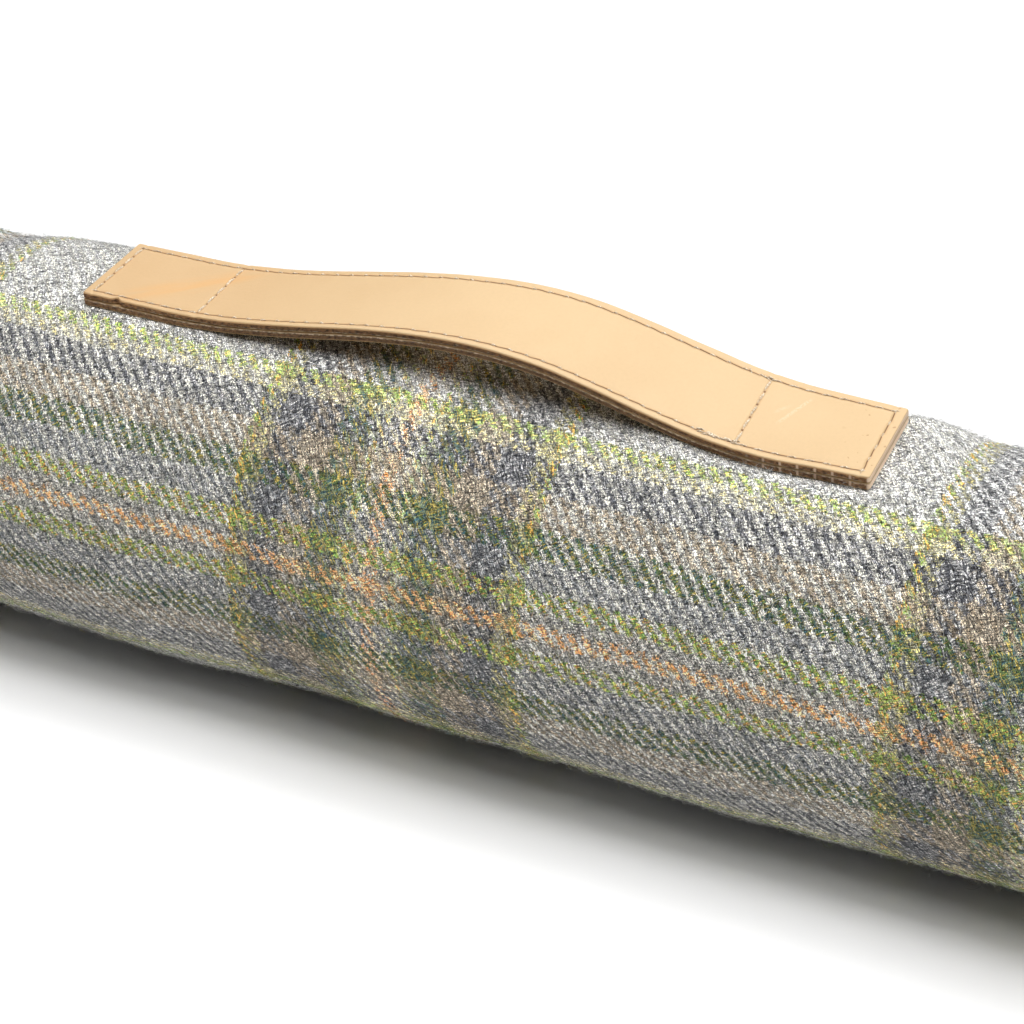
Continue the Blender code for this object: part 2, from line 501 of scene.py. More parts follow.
@dataclass(frozen=True)
class WoolCheck:
    """The woven wool cloth: a two and two twill, heathered and fulled, on the UV map "cloth" in metres."""

    check: Check = Check()
    roughness: float = 0.92
    sheen: float = 0.12
    yarn_relief: float = 0.13  # millimetres between a yarn's crest and where it dives
    fibre_relief: float = 0.20  # the same for the strands of fibre over it
    yarn_round: float = 0.45  # share of a yarn's height that is its own round back
    fray: float = 3.4 * MM  # how far loose fibres carry a yarn's colour over its edge
    fray_scale: float = 900.0  # noise features in a metre, as are the other scales
    sway: float = 3.6 * MM  # how far the threads wander from a straight line
    sway_scale: float = 38.0
    mixing: float = 3.3  # how often single fibres of the lower thread hide the upper one
    felting: float = 3.7  # how often fulling does so over whole floats
    felting_scale: float = 430.0
    cover_edge: float = 0.4  # softness of the edge between one thread's colour and the other's
    strands: float = 5400.0  # strands of fibre side by side in a metre
    flecks: float = 2000.0  # the same for the slubs of odd colour
    slender: float = 8.0  # length of a strand over its width
    swirl: float = 4.0  # how far strands bend, in their own widths
    swirl_scale: float = 230.0
    combing: tuple[float, float, float, float] = (-52.0, 74.0, 12.0, -28.0)  # degrees from the length
    fleck_turns: tuple[float, float] = (38.0, -63.0)
    dive_shade_gain: float = 1.60  # brightness of the yarn colours where a thread dives, in painted shade
    crest_painted_light: float = 0.64  # the painted highlight that its crest adds
    # Light and dark strands: partly the fibres' own tone, partly painted light and shade
    strand_contrast: float = 3.6
    strand_range: tuple[float, float] = (0.2, 1.18)  # darkest and lightest share of a strand
    # Painted highlight on the strands' crowns, and painted shade in the gaps between them
    crown_painted_light: float = 0.15
    gap_painted_shade: float = 0.9

    def _thread_colour(self, bench: Bench, sett: Sett, index: Value, odd: Value, rare: Value) -> Value:
        """The colour of a thread with its odd fibres mixed in.

        Args:
            bench: the material in the making.
            sett: the threads that it is one of.
            index: its number, from the pivot.
            odd: where its second kind of fibre shows.
            rare: where its third kind shows.

        Returns:
            The colour.
        """
        share = (index + 0.5).pingpong(sett.half) / sett.half
        tones = [bench.add("ValToRGB", {"stops": sett.stops(kind)}, {0: share}) for kind in range(3)]
        return bench.blend(rare, bench.blend(odd, tones[0], tones[1]), tones[2])

    def _combed(
        self, bench: Bench, along: Value, across: Value, swirl: Value, turn_deg: float, width: float
    ) -> Value:
        """Noise drawn out into strands that run one way and are bent by the swirl.

        Args:
            bench: the material in the making.
            along: metres along the roll.
            across: metres round it.
            swirl: how far strands are bent there, in their own widths.
            turn_deg: their angle from the roll's length.
            width: how many lie side by side in a metre.

        Returns:
            The noise, from 0 to 1.
        """
        cos, sin = math.cos(math.radians(turn_deg)), math.sin(math.radians(turn_deg))
        with_it = (along * cos + across * sin) * (width / self.slender)
        over_it = (across * cos - along * sin) * width + swirl
        return bench.noise(bench.vector(with_it, over_it, turn_deg * 0.37), 1.0, 1.0, 0.6)

    def material(self) -> bpy.types.Material:
        """The cloth's material.

        Thread i going round lies over pick j where i + j, taken by fours, is 0 or 1. A thread's
        height is the sine of how far it is along its float, plus its own round back across it.
        The higher of the two threads shows, unless the fibres combed over it come from the other.
        The third number of a noise's place only picks another noise.

        Returns:
            The finished material.
        """
        bench = Bench("wool_check")
        along, across = bench.map("cloth")
        flat = bench.vector(along, across)
        sway = (bench.noise(flat, self.sway_scale, 2.0) - 0.5) * self.sway
        lean = (bench.noise(bench.vector(across, along, 3.7), self.sway_scale, 2.0) - 0.5) * self.sway
        fray_x, fray_y = (
            (bench.noise(bench.vector(along, across, pick), self.fray_scale, 2.0, 0.6) - 0.5) * self.fray
            for pick in (1.1, 8.1)
        )
        warp, weft = self.check.round_threads, self.check.long_threads
        x = (along + sway + fray_x - warp.pivot) / warp.pitch
        y = (across + along * self.check.drift + lean + fray_y - weft.pivot) / weft.pitch
        i, j = x.floor(), y.floor()
        across_x, across_y = x - i, y - j
        back_x = across_x * (1.0 - across_x) * 4.0
        back_y = across_y * (1.0 - across_y) * 4.0
        rise_x = ((i + y) * (math.pi / 2)).sine() + back_x * self.yarn_round
        rise_y = back_y * self.yarn_round - ((j + x) * (math.pi / 2)).sine()

        swirl = (bench.noise(bench.vector(along, across, 2.0), self.swirl_scale, 1.0) - 0.5) * self.swirl
        down, steep, level, gentle = (
            self._combed(bench, along, across, swirl, turn, self.strands) for turn in self.combing
        )
        fleck, slub = (
            self._combed(bench, along, across, swirl, turn, self.flecks) for turn in self.fleck_turns
        )
        felted = bench.noise(bench.vector(along, across, 6.6), self.felting_scale, 1.0) - 0.5
        over = rise_x - rise_y + (down + steep - level - gentle) * self.mixing + felted * self.felting
        over = over.between(-self.cover_edge, self.cover_edge)

        # Heather: each yarn is spun of fibres of several colours, in short flecks
        tone_x = self._thread_colour(bench, warp, i, fleck.between(0.51, 0.56), slub.between(0.54, 0.59))
        tone_y = self._thread_colour(bench, weft, j, slub.between(0.49, 0.44), fleck.between(0.46, 0.41))
        tone = bench.blend(over, tone_y, tone_x)

        # Single fibres of the brushed face: light and dark strands, partly their own tone and partly
        # painted light, with a painted highlight on their crowns and painted shade in the gaps between them
        crown = down.larger(steep).larger(level).larger(gentle)
        gap = down.smaller(steep).smaller(level).smaller(gentle)
        top = rise_x.larger(rise_y)
        strand = 1.0 + self.strand_contrast * (down + level - steep - gentle)
        darkest, lightest = self.strand_range
        # Painted shade where a thread dives, and a painted highlight on its crest
        shade = self.dive_shade_gain + self.crest_painted_light * top.between(-0.3, 1.2)
        shade = shade * strand.larger(darkest).smaller(lightest)
        shade = shade * (1.0 + self.crown_painted_light * crown.between(0.58, 0.68))
        shade = shade * (1.0 - self.gap_painted_shade * gap.between(0.455, 0.36))
        height = top * self.yarn_relief + (down - steep) * self.fibre_relief
        shader = {
            "Base Color": bench.shaded(tone, shade),
            "Roughness": self.roughness,
            "Specular IOR Level": 0.15,
            "Sheen Weight": self.sheen,
            "Sheen Roughness": 0.6,
        }
        return bench.finish(shader, height)


@dataclass(frozen=True)
class WoolFibre:
    """Single wool fibres. Each has the colour of its thread, with lighter and darker stretches."""

    roughness: float = 0.7
    uneven_scale: float = 900.0  # noise features in a metre

    def material(self) -> bpy.types.Material:
        """The fibres' material.

        Returns:
            The finished material.
        """
        bench = Bench("wool_fibre")
        tint = bench.add("Attribute", {"attribute_name": "tint"}, output="Color")
        place = bench.add("TexCoord", output="Object")
        uneven = bench.noise(place, self.uneven_scale, 1.0)
        shader = {
            "Base Color": bench.shaded(tint, 0.8 + 0.4 * uneven),
            "Roughness": self.roughness,
            "Specular IOR Level": 0.3,
            "Sheen Weight": 0.2,
        }
        return bench.finish(shader)


@dataclass(frozen=True)
class Rub:
    """A soft straight scratch on the face, from one place to another.

    A place is metres past the right-hand row across, and metres across the strap.
    """

    start: tuple[float, float]
    stop: tuple[float, float]
    strength: float


@dataclass(frozen=True)
class TanLeather:
    """Vegetable tanned leather: smooth pale face, brown cut edge with painted shade and light, and the
    slits of its stitches painted as shadow.

    It reads the UV map "strip" (metres along and across), and the attributes "cut" (1 on the cut
    edge) and "level" (0 at the underside, 1 at the face).
    """

    name: str
    face: tuple[int, int, int] = (208, 179, 138)
    face_left: tuple[int, int, int] = (196, 163, 121)
    blush: tuple[int, int, int] = (214, 160, 98)
    rubbed: tuple[int, int, int] = (240, 218, 190)
    speck: tuple[int, int, int] = (150, 96, 52)
    trough: tuple[int, int, int] = (190, 138, 88)  # pressed by the stitches
    # Painted shadow in the stitches' slits and holes
    slit: tuple[int, int, int] = (118, 78, 44)
    lip: tuple[int, int, int] = (206, 160, 108)  # the rounded corner under the face: its own colour, with painted light where it turns up
    edge: tuple[int, int, int] = (166, 120, 80)
    edge_dark: tuple[int, int, int] = (62, 40, 25)
    flesh: tuple[int, int, int] = (240, 222, 192)  # loose fibres along the lower corner
    # The right-hand end cut: its own pale colour with painted light; also the colour of the drawn marks on
    # the edge
    end_cut: tuple[int, int, int] = (252, 226, 198)
    flesh_share: float = 0.45
    lip_whole: float = 1.0  # how much of the lip is unbroken
    stitched: bool = True
    cloud_scale: float = 32.0  # noise features in a metre, as are the other scales
    grain_scale: float = 900.0
    pore_scale: float = 1500.0
    speck_scale: float = 700.0
    # Of the edge's fibres, its lint and its ragged corner: scale along, scale up, pick and detail
    edge_noises: tuple[tuple[float, float, float, float], ...] = (
        (800.0, 2.6, 1.0, 4.0),
        (620.0, 2.6, 7.0, 3.0),
        (560.0, 2.0, 2.0, 3.0),
    )
    drawn_from: tuple[float, float] = (0.086, 0.094)  # where the edge's stitches start to show
    end_from: tuple[float, float] = (0.1236, 0.1242)  # where the right-hand end cut starts
    specks_from: tuple[float, float] = (0.108, 0.118)
    blush_half: float = 0.0075
    blush_reach: tuple[float, float] = (0.024, 0.008)  # each way along, where it ends and fades
    blush_at: float = -0.094  # along the strap
    blush_slope: float = 0.72  # metres across for each metre along
    blush_across: float = 0.068  # where its line would cross the strap's middle
    rubs: tuple[Rub, ...] = (
        Rub((0.0073, -0.0034), (0.0141, 0.0118), 0.30),
        Rub((0.0047, 0.0006), (0.0096, 0.0067), 0.21),
    )
    rub_half: float = 0.9 * MM
    rub_fade: float = 4.0 * MM  # over which a rub starts and ends

    def _rub_marks(self, past: Value, across: Value) -> Value:
        """Where the face is rubbed.

        Args:
            past: metres past the right-hand row across.
            across: metres across the strap.

        Returns:
            A mask with each rub's strength on its line and 0 beside and past it.
        """
        marks = 0.0
        for rub in self.rubs:
            run = math.dist(rub.start, rub.stop)
            cos, sin = ((b - a) / run for a, b in zip(rub.start, rub.stop, strict=True))
            x, y = past - rub.start[0], across - rub.start[1]
            with_it = x * cos + y * sin
            off_it = abs(y * cos - x * sin)
            ends = with_it.between(0.0, self.rub_fade) * with_it.between(run, run - self.rub_fade)
            marks = marks + off_it.between(self.rub_half, 0.1 * MM) * ends * rub.strength
        return marks

    def _face_tone(self, bench: Bench, along: Value, across: Value, grain: Value) -> Value:
        """The face's colour, before it is rubbed or sewn.

        It is browner to the left, cloudy and grained, with a slanting smear of a warmer brown.

        Args:
            bench: the material in the making.
            along: metres along the strap.
            across: metres across it.
            grain: the grain's noise.

        Returns:
            The colour.
        """
        cloudy = bench.noise(bench.vector(along, across), self.cloud_scale, 3.0, 0.6)
        toned = along.between(0.010, -0.118) * 0.75 + cloudy.between(0.35, 0.75) * 0.25
        tone = bench.blend(toned, linear(self.face), linear(self.face_left))
        tone = bench.shaded(tone, 0.955 + 0.09 * grain)
        slanting = along * self.blush_slope - across + self.blush_across
        smear = bench.noise(bench.vector(slanting * 300.0, along * 60.0, 3.0), 1.0, 2.0)
        near = abs(along - self.blush_at).between(*self.blush_reach)
        blush = abs(slanting).between(self.blush_half, 0.0) * near
        return bench.blend(blush * smear.between(0.25, 0.6) * 0.45, tone, linear(self.blush))

    def _cut_edge(
        self, bench: Bench, along: Value, level: Value, sewing: "SewingPlan"
    ) -> tuple[Value, Value]:
        """The cut edge: dark and light fibres, lint, painted shade along its middle, a ragged lower corner,
        a smooth lip with painted light, and a right-hand end cut painted light.

        Args:
            bench: the material in the making.
            along: metres along the strap.
            level: 0 at the underside, 1 at the face.
            sewing: where the rows of stitches run.

        Returns:
            Its colour, and its relief in millimetres.
        """
        fibres, lint, ragged = (
            bench.noise(bench.vector(along * scale, level * tall, pick), 1.0, detail, 0.8)
            for scale, tall, pick, detail in self.edge_noises
        )
        side = bench.blend(fibres.between(0.36, 0.62), linear(self.edge_dark), linear(self.edge))
        side = bench.blend(lint.between(0.60, 0.68) * 0.5, side, linear(self.flesh))
        # Painted shade: the edge is darker along the middle of the strap and lighter towards its ends
        side = bench.shaded(side, 0.65 + 0.35 * abs(along).between(0.05, 0.10))
        ragged = ragged.between(0.62 - 0.3 * self.flesh_share, 0.68 - 0.3 * self.flesh_share)
        side = bench.blend(level.between(0.30, 0.10) * ragged * 0.95, side, linear(self.flesh))
        stitch = (along + sewing.end) / sewing.even_pitch(2 * sewing.end)
        drawn = abs(stitch - stitch.floor() - 0.5).between(0.10, 0.04) * along.between(*self.drawn_from)
        side = bench.blend(drawn * 0.6, side, linear(self.end_cut))
        whole = self.lip_whole + (1.0 - self.lip_whole) * lint.between(0.50, 0.56)
        # The smooth lip at the top of the edge: on the face strip its own colour with painted light where
        # it turns up
        side = bench.blend(level.between(0.70, 0.90) * whole, side, linear(self.lip))
        # The right-hand end cut: its own pale colour with painted light
        end = along.between(*self.end_from) * (0.7 + 0.3 * fibres.between(0.25, 0.5))
        return bench.blend(end, side, linear(self.end_cut)), fibres * 0.45 + lint * 0.2

    def material(self, sewing: "SewingPlan") -> bpy.types.Material:
        """The leather's material.

        Args:
            sewing: where the rows of stitches run.

        Returns:
            The finished material.
        """
        bench = Bench(self.name)
        along, across = bench.map("strip")
        cut = bench.add("Attribute", {"attribute_name": "cut"}, output="Fac")
        level = bench.add("Attribute", {"attribute_name": "level"}, output="Fac")
        grain = bench.noise(bench.vector(along, across), self.grain_scale, 3.0, 0.6)
        pores = bench.noise(bench.vector(along, across, 4.0), self.pore_scale, 1.0)
        tone = self._face_tone(bench, along, across, grain)
        rubbed = self._rub_marks(along - sewing.cross, across) * pores.between(0.3, 0.55)
        tone = bench.blend(rubbed, tone, linear(self.rubbed))
        specks = bench.noise(bench.vector(along, across, 8.0), self.speck_scale, 0.0).between(0.74, 0.80)
        tone = bench.blend(specks * along.between(*self.specks_from) * 0.5, tone, linear(self.speck))
        height = grain * 0.05 + pores.between(0.62, 0.75) * -0.03
        if self.stitched:
            slit, trough = sewing.marks(bench, along, across)
            tone = bench.blend(trough * 0.30, tone, linear(self.trough))
            # The stitches' slits and holes, painted as shadow
            tone = bench.blend(slit * 0.8, tone, linear(self.slit))
            height = height - slit * 0.30 - trough * 0.22
        side, relief = self._cut_edge(bench, along, level, sewing)
        shader = {
            "Base Color": bench.blend(cut.between(0.3, 0.8), tone, side),
            "Roughness": 0.46 + 0.10 * grain + 0.28 * cut,
            "Specular IOR Level": 0.35,
        }
        return bench.finish(shader, height + cut * relief)


@dataclass(frozen=True)
class WaxedThread:
    """Cream linen thread, in lighter and darker fibres, browned by handling here and there."""

    light: tuple[int, int, int] = (240, 230, 210)
    dark: tuple[int, int, int] = (190, 166, 136)
    worn: tuple[int, int, int] = (196, 154, 110)
    roughness: float = 0.6
    fibre_scale: float = 2600.0  # noise features in a metre
    worn_scale: float = 240.0
    fibre_relief: float = 0.06  # millimetres

    def material(self) -> bpy.types.Material:
        """The thread's material.

        Returns:
            The finished material.
        """
        bench = Bench("waxed_thread")
        place = bench.add("TexCoord", output="Object")
        fibres = bench.noise(place, self.fibre_scale, 2.0)
        worn = bench.noise(place, self.worn_scale, 1.0).between(0.55, 0.8) * 0.35
        tone = bench.blend(fibres.between(0.35, 0.7), linear(self.dark), linear(self.light))
        tone = bench.blend(worn, tone, linear(self.worn))
        shader = {"Base Color": tone, "Roughness": self.roughness, "Specular IOR Level": 0.3}
        return bench.finish(shader, fibres * self.fibre_relief)


@dataclass(frozen=True)
class PaleFloor:
    """The plain white studio floor, of two whites that hardly differ."""

    whites: tuple[tuple[int, int, int], ...] = ((235, 235, 236), (238, 238, 238))
    roughness: float = 0.9
    cloud_scale: float = 3.0  # noise features in a metre

    def material(self) -> bpy.types.Material:
        """The floor's material.

        Returns:
            The finished material.
        """
        bench = Bench("pale_floor")
        uneven = bench.noise(bench.add("TexCoord", output="Object"), self.cloud_scale, 2.0)
        tone = bench.blend(uneven, *(linear(white) for white in self.whites))
        return bench.finish({"Base Color": tone, "Roughness": self.roughness, "Specular IOR Level": 0.1})


# ---------------------------------------------------------------- the handle's form


@dataclass(frozen=True)
class StrapForm:
    """The handle's own line: sewn down at both ends, an arch between, and a twist to the right of it."""

    length: float = 0.249
    width: float = 0.032
    leather: float = 0.0020
    gap: float = 0.0003
    middle_y: float = -0.0037
    crown: float = 0.116569  # height of the roll's crown over the floor
    left_rise: float = -0.0008  # of the underside over the crown, at the sewn end
    right_rise: float = -0.0017
    arch_rise: float = 0.0120
    arch_place: float = 0.0115
    left_run: float = 0.1093  # from the arch's top down to the sewn end
    right_run: float = 0.0889
    left_lean: float = math.radians(6.2)
    right_lean: float = math.radians(9.5)
    lean_from: float = -0.129
    lean_to: float = 0.018
    twist: float = math.radians(8.8)
    twist_place: float = 0.059
    twist_reach: float = 0.050

    def rise(self, along: np.ndarray) -> np.ndarray:
        """Height of the underside over the crown: half a cosine wave from the arch's top to each end.

        Args:
            along: distance along the strap from its middle.

        Returns:
            The height at each.
        """
        from_top = along - self.arch_place
        share = np.where(from_top < 0, -from_top / self.left_run, from_top / self.right_run)
        foot = np.where(from_top < 0, self.left_rise, self.right_rise)
        return foot + (self.arch_rise - foot) * (0.5 + 0.5 * np.cos(np.pi * np.minimum(share, 1.0)))

    def tilt(self, along: np.ndarray) -> np.ndarray:
        """How far the strap leans to the front: a soft step, and a gaussian where it is twisted.

        Args:
            along: distance along the strap from its middle.

        Returns:
            The angle at each.
        """
        lean = smooth_step((along - self.lean_from) / (self.lean_to - self.lean_from))
        twist = np.exp(-(((along - self.twist_place) / self.twist_reach) ** 2))
        return self.left_lean + (self.right_lean - self.left_lean) * lean + self.twist * twist

    def up(self, along: np.ndarray) -> np.ndarray:
        """Unit vectors square to the leather, from its slope along and its lean.

        Args:
            along: distance along the strap from its middle.

        Returns:
            A vector for each.
        """
        tiny = 1e-5
        slope = (self.rise(along + tiny) - self.rise(along - tiny)) / (2 * tiny)
        tilt = self.tilt(along)
        return unit(np.stack([-slope, -np.sin(tilt), np.cos(tilt)], -1))

    def place(self, along: np.ndarray, across: np.ndarray, lift: np.ndarray) -> np.ndarray:
        """Points on or in the handle.

        Args:
            along: distance along the strap from its middle.
            across: distance across it, positive to the back.
            lift: height square to the leather over the handle's underside.

        Returns:
            A point for each.
        """
        tilt = self.tilt(along)
        y = self.middle_y + across * np.cos(tilt)
        z = self.crown + self.rise(along) + across * np.sin(tilt)
        return np.stack([along, y, z], -1) + self.up(along) * np.asarray(lift)[..., None]


@dataclass(frozen=True)
class SewingPlan:
    """Where the handle's stitches run: all round near the edge, and across each end."""

    strap: StrapForm = StrapForm()
    row: float = 13.5 * MM  # long rows from the strap's middle line
    end_row: float = 3.0 * MM  # end rows from the strap's ends
    cross_row: float = 39.6 * MM  # cross rows from the strap's ends
    pitch: float = 4.95 * MM
    slit: float = 0.76  # share of a stitch that shows as a slit, painted as shadow
    slit_half: float = 0.13 * MM
    slant: float = 0.35 * MM
    trough_half: float = 0.9 * MM
    hole_half: float = 0.4 * MM
    wander: float = 0.5 * MM  # unevenness of the rows
    wander_scale: float = 160.0  # noise features in a metre

    @property
    def end(self) -> float:
        """Distance of an end row from the strap's middle."""
        return self.strap.length / 2 - self.end_row

    @property
    def cross(self) -> float:
        """Distance of a cross row from the strap's middle."""
        return self.strap.length / 2 - self.cross_row

    @property
    def threaded_rows(self) -> tuple[float, float, float]:
        """Where the rows run across whose thread lies on top of the leather."""
        return -self.end, -self.cross, self.cross

    def even_pitch(self, run: float) -> float:
        """The pitch nearest the usual one that fits whole stitches in a run."""
        return run / round(run / self.pitch)

    def _row(self, off: Value, part: Value, inside: Value) -> tuple[Value, Value]:
        """The marks of one row of slits.

        Args:
            off: distance from the row's line.
            part: place in the stitch, from 0 to 1.
            inside: 1 as far as the row runs.

        Returns:
            Two masks: the slits, and the trough that they lie in.
        """
        dash = abs(part - 0.5).between(self.slit / 2 + 0.03, self.slit / 2 - 0.03)
        slits = off.between(self.slit_half * 1.7, self.slit_half * 0.6) * dash * inside
        return slits, off.between(self.trough_half, 0.1 * MM) * inside

    def marks(self, bench: Bench, along: Value, across: Value) -> tuple[Value, Value]:
        """Where the leather is slit by a stitch, whose slits and holes are painted as shadow, and where the
        rows press a shallow trough.

        Args:
            bench: the material in the making.
            along: metres along the strap.
            across: metres across it.

        Returns:
            Two masks from 0 to 1.
        """
        wander = (bench.noise(bench.vector(along, across, 6.0), self.wander_scale, 1.0) - 0.5) * self.wander
        step = (along + self.end) / self.even_pitch(2 * self.end)
        part = step - step.floor()
        off = abs(abs(across) - self.row + wander + (part - 0.5) * self.slant)
        slits, trough = self._row(off, part, abs(along).between(self.end + 0.1 * MM, self.end))

        step = (across + self.row) / self.even_pitch(2 * self.row)
        part = step - step.floor()
        inside = abs(across).between(self.row + 0.1 * MM, self.row)
        off = abs(along - self.end + wander + (part - 0.5) * self.slant)
        end_slits, end_trough = self._row(off, part, inside)
        slits, trough = slits.larger(end_slits), trough.larger(end_trough)
        hole = abs(part - 0.5).between(0.42, 0.47)
        for at in self.threaded_rows:
            off = abs(along - at + wander)
            slits = slits.larger(off.between(self.hole_half, self.hole_half / 2) * hole * inside)
            trough = trough.larger(off.between(self.trough_half, 0.1 * MM) * inside)
        return slits, trough


# ---------------------------------------------------------------- the stuffed roll


@dataclass(frozen=True)
class Lump:
    """A soft wave of the filling, along and round the roll."""

    height: float
    waves_per_metre: float
    waves_round: int
    phase: float


@dataclass(frozen=True)
class Hollow:
    """A hollow of the cloth beside the handle. A swell has a negative depth."""

    x: float
    angle_deg: float
    depth: float
    reach_along: float
    reach_round: float


@dataclass
class StuffedRoll:
    """The long tube of check cloth, stuffed hard, with its sewn round ends, as one closed cloth skin."""

    strap: StrapForm
    length: float = 0.900
    radius: float = 0.060
    flat_width: float = 0.040
    end_dome: float = 0.011
    seam_radius: float = 0.0555
    shoulder: float = 0.016
    lumps: tuple[Lump, ...] = (
        Lump(0.0005, 5.5, 2, 0.4),
        Lump(0.0004, 9.5, 1, 2.1),
        Lump(0.0002, 13.0, 3, 4.0),
    )
    lump_fade: float = 0.050  # over which the lumps die away towards each end
    hollows: tuple[Hollow, ...] = (
        Hollow(0.147, 104, 0.0022, 0.010, 0.034),
        Hollow(0.130, 100, -0.0012, 0.012, 0.030),
        Hollow(-0.142, 100, -0.0010, 0.016, 0.034),
        Hollow(-0.182, 104, 0.0026, 0.016, 0.046),
    )
    swell: float = 0.00016  # of the cloth's own fine unevenness
    swell_wave: float = 0.024
    seat_blend: float = 0.0006
    seat_margin: float = 0.010
    front_margin: float = 0.0022  # the same at the front, where the wool swells up against the edge
    sewn_from: float = 0.070  # from the middle to where the stitches draw the cloth up to the leather
    sewn_to: float = 0.084
    seam_angle: float = math.radians(-112)  # where the lengthwise seam lies, low at the back
    seam_depth: float = 0.0009
    seam_half: float = 0.0011
    pucker: float = 0.0005  # of the gathers beside each end seam
    pucker_count: int = 44
    pucker_reach: float = 0.008
    pucker_start: float = 0.002
    disc_at: tuple[float, float] = (0.31, 0.18)  # where the round ends are cut from the flat cloth
    draw_steps: int = 12  # of the drawn-in shoulder
    dome_steps: int = 16
    fine_reach: float = 0.180  # half the stretch round the handle that has close steps
    fine_step: float = 0.0021
    coarse_step: float = 0.0045
    round_step: float = 0.0019
    seam_steps: tuple[float, ...] = (0.0, 0.4, 0.8, 1.2, 1.7, 2.4, 3.3)  # millimetres from the seam
    fill: float = 0.92  # share of its solid that the skin has to fill
    piece: bpy.types.Object = field(init=False)

    @property
    def axis_height(self) -> float:
        """Height of the roll's axis over the floor that flattens it."""
        return math.sqrt(self.radius**2 - (self.flat_width / 2) ** 2)

    @property
    def seam_x(self) -> float:
        """Distance of the end seams from the middle."""
        return self.length / 2 - self.end_dome

    def outline(self) -> tuple[np.ndarray, np.ndarray]:
        """The outline that turns into the roll, from one pole to the other.

        The tube draws in on a quarter ellipse to the seam, and the round end swells out of it on
        another.

        Returns:
            Places along the axis, and the radius at each.
        """
        draw = np.linspace(0.0, np.pi / 2, self.draw_steps + 1)
        dome = np.linspace(0.0, np.pi / 2, self.dome_steps + 1)[1:]
        end_x = [
            self.seam_x - self.shoulder * (1 - np.sin(draw)),
            self.seam_x + self.end_dome * np.sin(dome),
        ]
        shrink = (self.radius - self.seam_radius) * (1 - np.cos(draw))
        end_r = [self.radius - shrink, self.seam_radius * np.cos(dome)]
        end_x, end_r = np.concatenate(end_x), np.concatenate(end_r)
        leather_end = self.strap.length / 2 + 2 * self.strap.gap
        under = np.linspace(-leather_end, leather_end, round(2 * leather_end / self.fine_step))
        beside_run = self.fine_reach - leather_end
        beside = np.linspace(leather_end, self.fine_reach, round(beside_run / self.fine_step) + 1)[1:]
        coarse_run = end_x[0] - self.fine_reach
        coarse = np.linspace(self.fine_reach, end_x[0], round(coarse_run / self.coarse_step) + 1)[1:-1]
        outer = np.concatenate([beside, coarse])
        body = np.concatenate([-outer[::-1], under, outer])
        x = np.concatenate([-end_x[::-1], body, end_x])
        r = np.concatenate([end_r[::-1], np.full(len(body), self.radius), end_r])
        return x, r

    def stuffed_radius(self, x: np.ndarray, angle: np.ndarray) -> np.ndarray:
        """Radius of the cloth: the roll's own, plus a few long sines, less soft hollows.

        Args:
            x: place along the axis.
            angle: from the front (-Y) upwards, in radians.

        Returns:
            The radius at each.
        """
        lump = np.zeros(np.broadcast(x, angle).shape)
        for wave in self.lumps:
            turn = 2 * np.pi * wave.waves_per_metre * x + wave.waves_round * angle
            lump += wave.height * np.sin(turn + wave.phase)
        fade = smooth_step((self.seam_x - np.abs(x)) / self.lump_fade)
        lump *= fade
        for dent in self.hollows:
            away = self._arc_from(angle, math.radians(dent.angle_deg))
            off = ((x - dent.x) / dent.reach_along) ** 2 + (away / dent.reach_round) ** 2
            lump -= dent.depth * np.exp(-off)
        lump += self.swell * ripple(x, self.radius * angle, self.swell_wave, 11) * fade
        from_seam = np.abs(np.abs(x) - self.seam_x)
        gather = np.sin(self.pucker_count * angle + 1.7 * np.sin(5 * angle + np.sign(x)))
        gather *= np.exp(-from_seam / self.pucker_reach) * smooth_step(from_seam / self.pucker_start)
        lump += self.pucker * gather
        seam_away = self._arc_from(angle, self.seam_angle)
        inside = np.abs(x) <= self.seam_x
        lump -= self.seam_depth * np.exp(-((seam_away / self.seam_half) ** 2)) * inside
        return self.radius + lump

    def _arc_from(self, angle: np.ndarray, other: float) -> np.ndarray:
        """Metres round the roll from one angle to another, the shorter way."""
        return np.angle(np.exp(1j * (angle - other))) * self.radius

    def seat(self, x: np.ndarray, y: np.ndarray, z: np.ndarray) -> np.ndarray:
        """Fits the crown to the handle, whose sewn ends press it in or draw it up to the leather.

        The pressed height is the soft minimum of the cloth's own and the leather's less the gap.
        Where it is sewn, what is left between the two is then closed. Both fade past the strap.

        Args:
            x: place along the axis.
            y: place across, positive to the back.
            z: the cloth's own height over the axis.

        Returns:
            The height over the axis once the handle is sewn on.
        """
        strap = self.strap
        half = strap.width / 2
        across = y - strap.middle_y
        slope = np.tan(strap.tilt(x))
        under = self.radius + strap.rise(x) - strap.gap
        outside = np.maximum(np.abs(x) - strap.length / 2, np.abs(across) - half)
        margin = np.where(across < -half, self.front_margin, self.seat_margin)
        held = 1 - smooth_step((outside - 2 * strap.gap) / margin)
        pressed = z + (soft_min(z, under + across * slope, self.seat_blend) - z) * held
        sewn = smooth_step((np.abs(x) - self.sewn_from) / (self.sewn_to - self.sewn_from))
        drawn = under + np.clip(across, -half, half) * slope - pressed
        return np.where(z > 0, pressed + np.maximum(drawn, 0) * sewn * held, z)

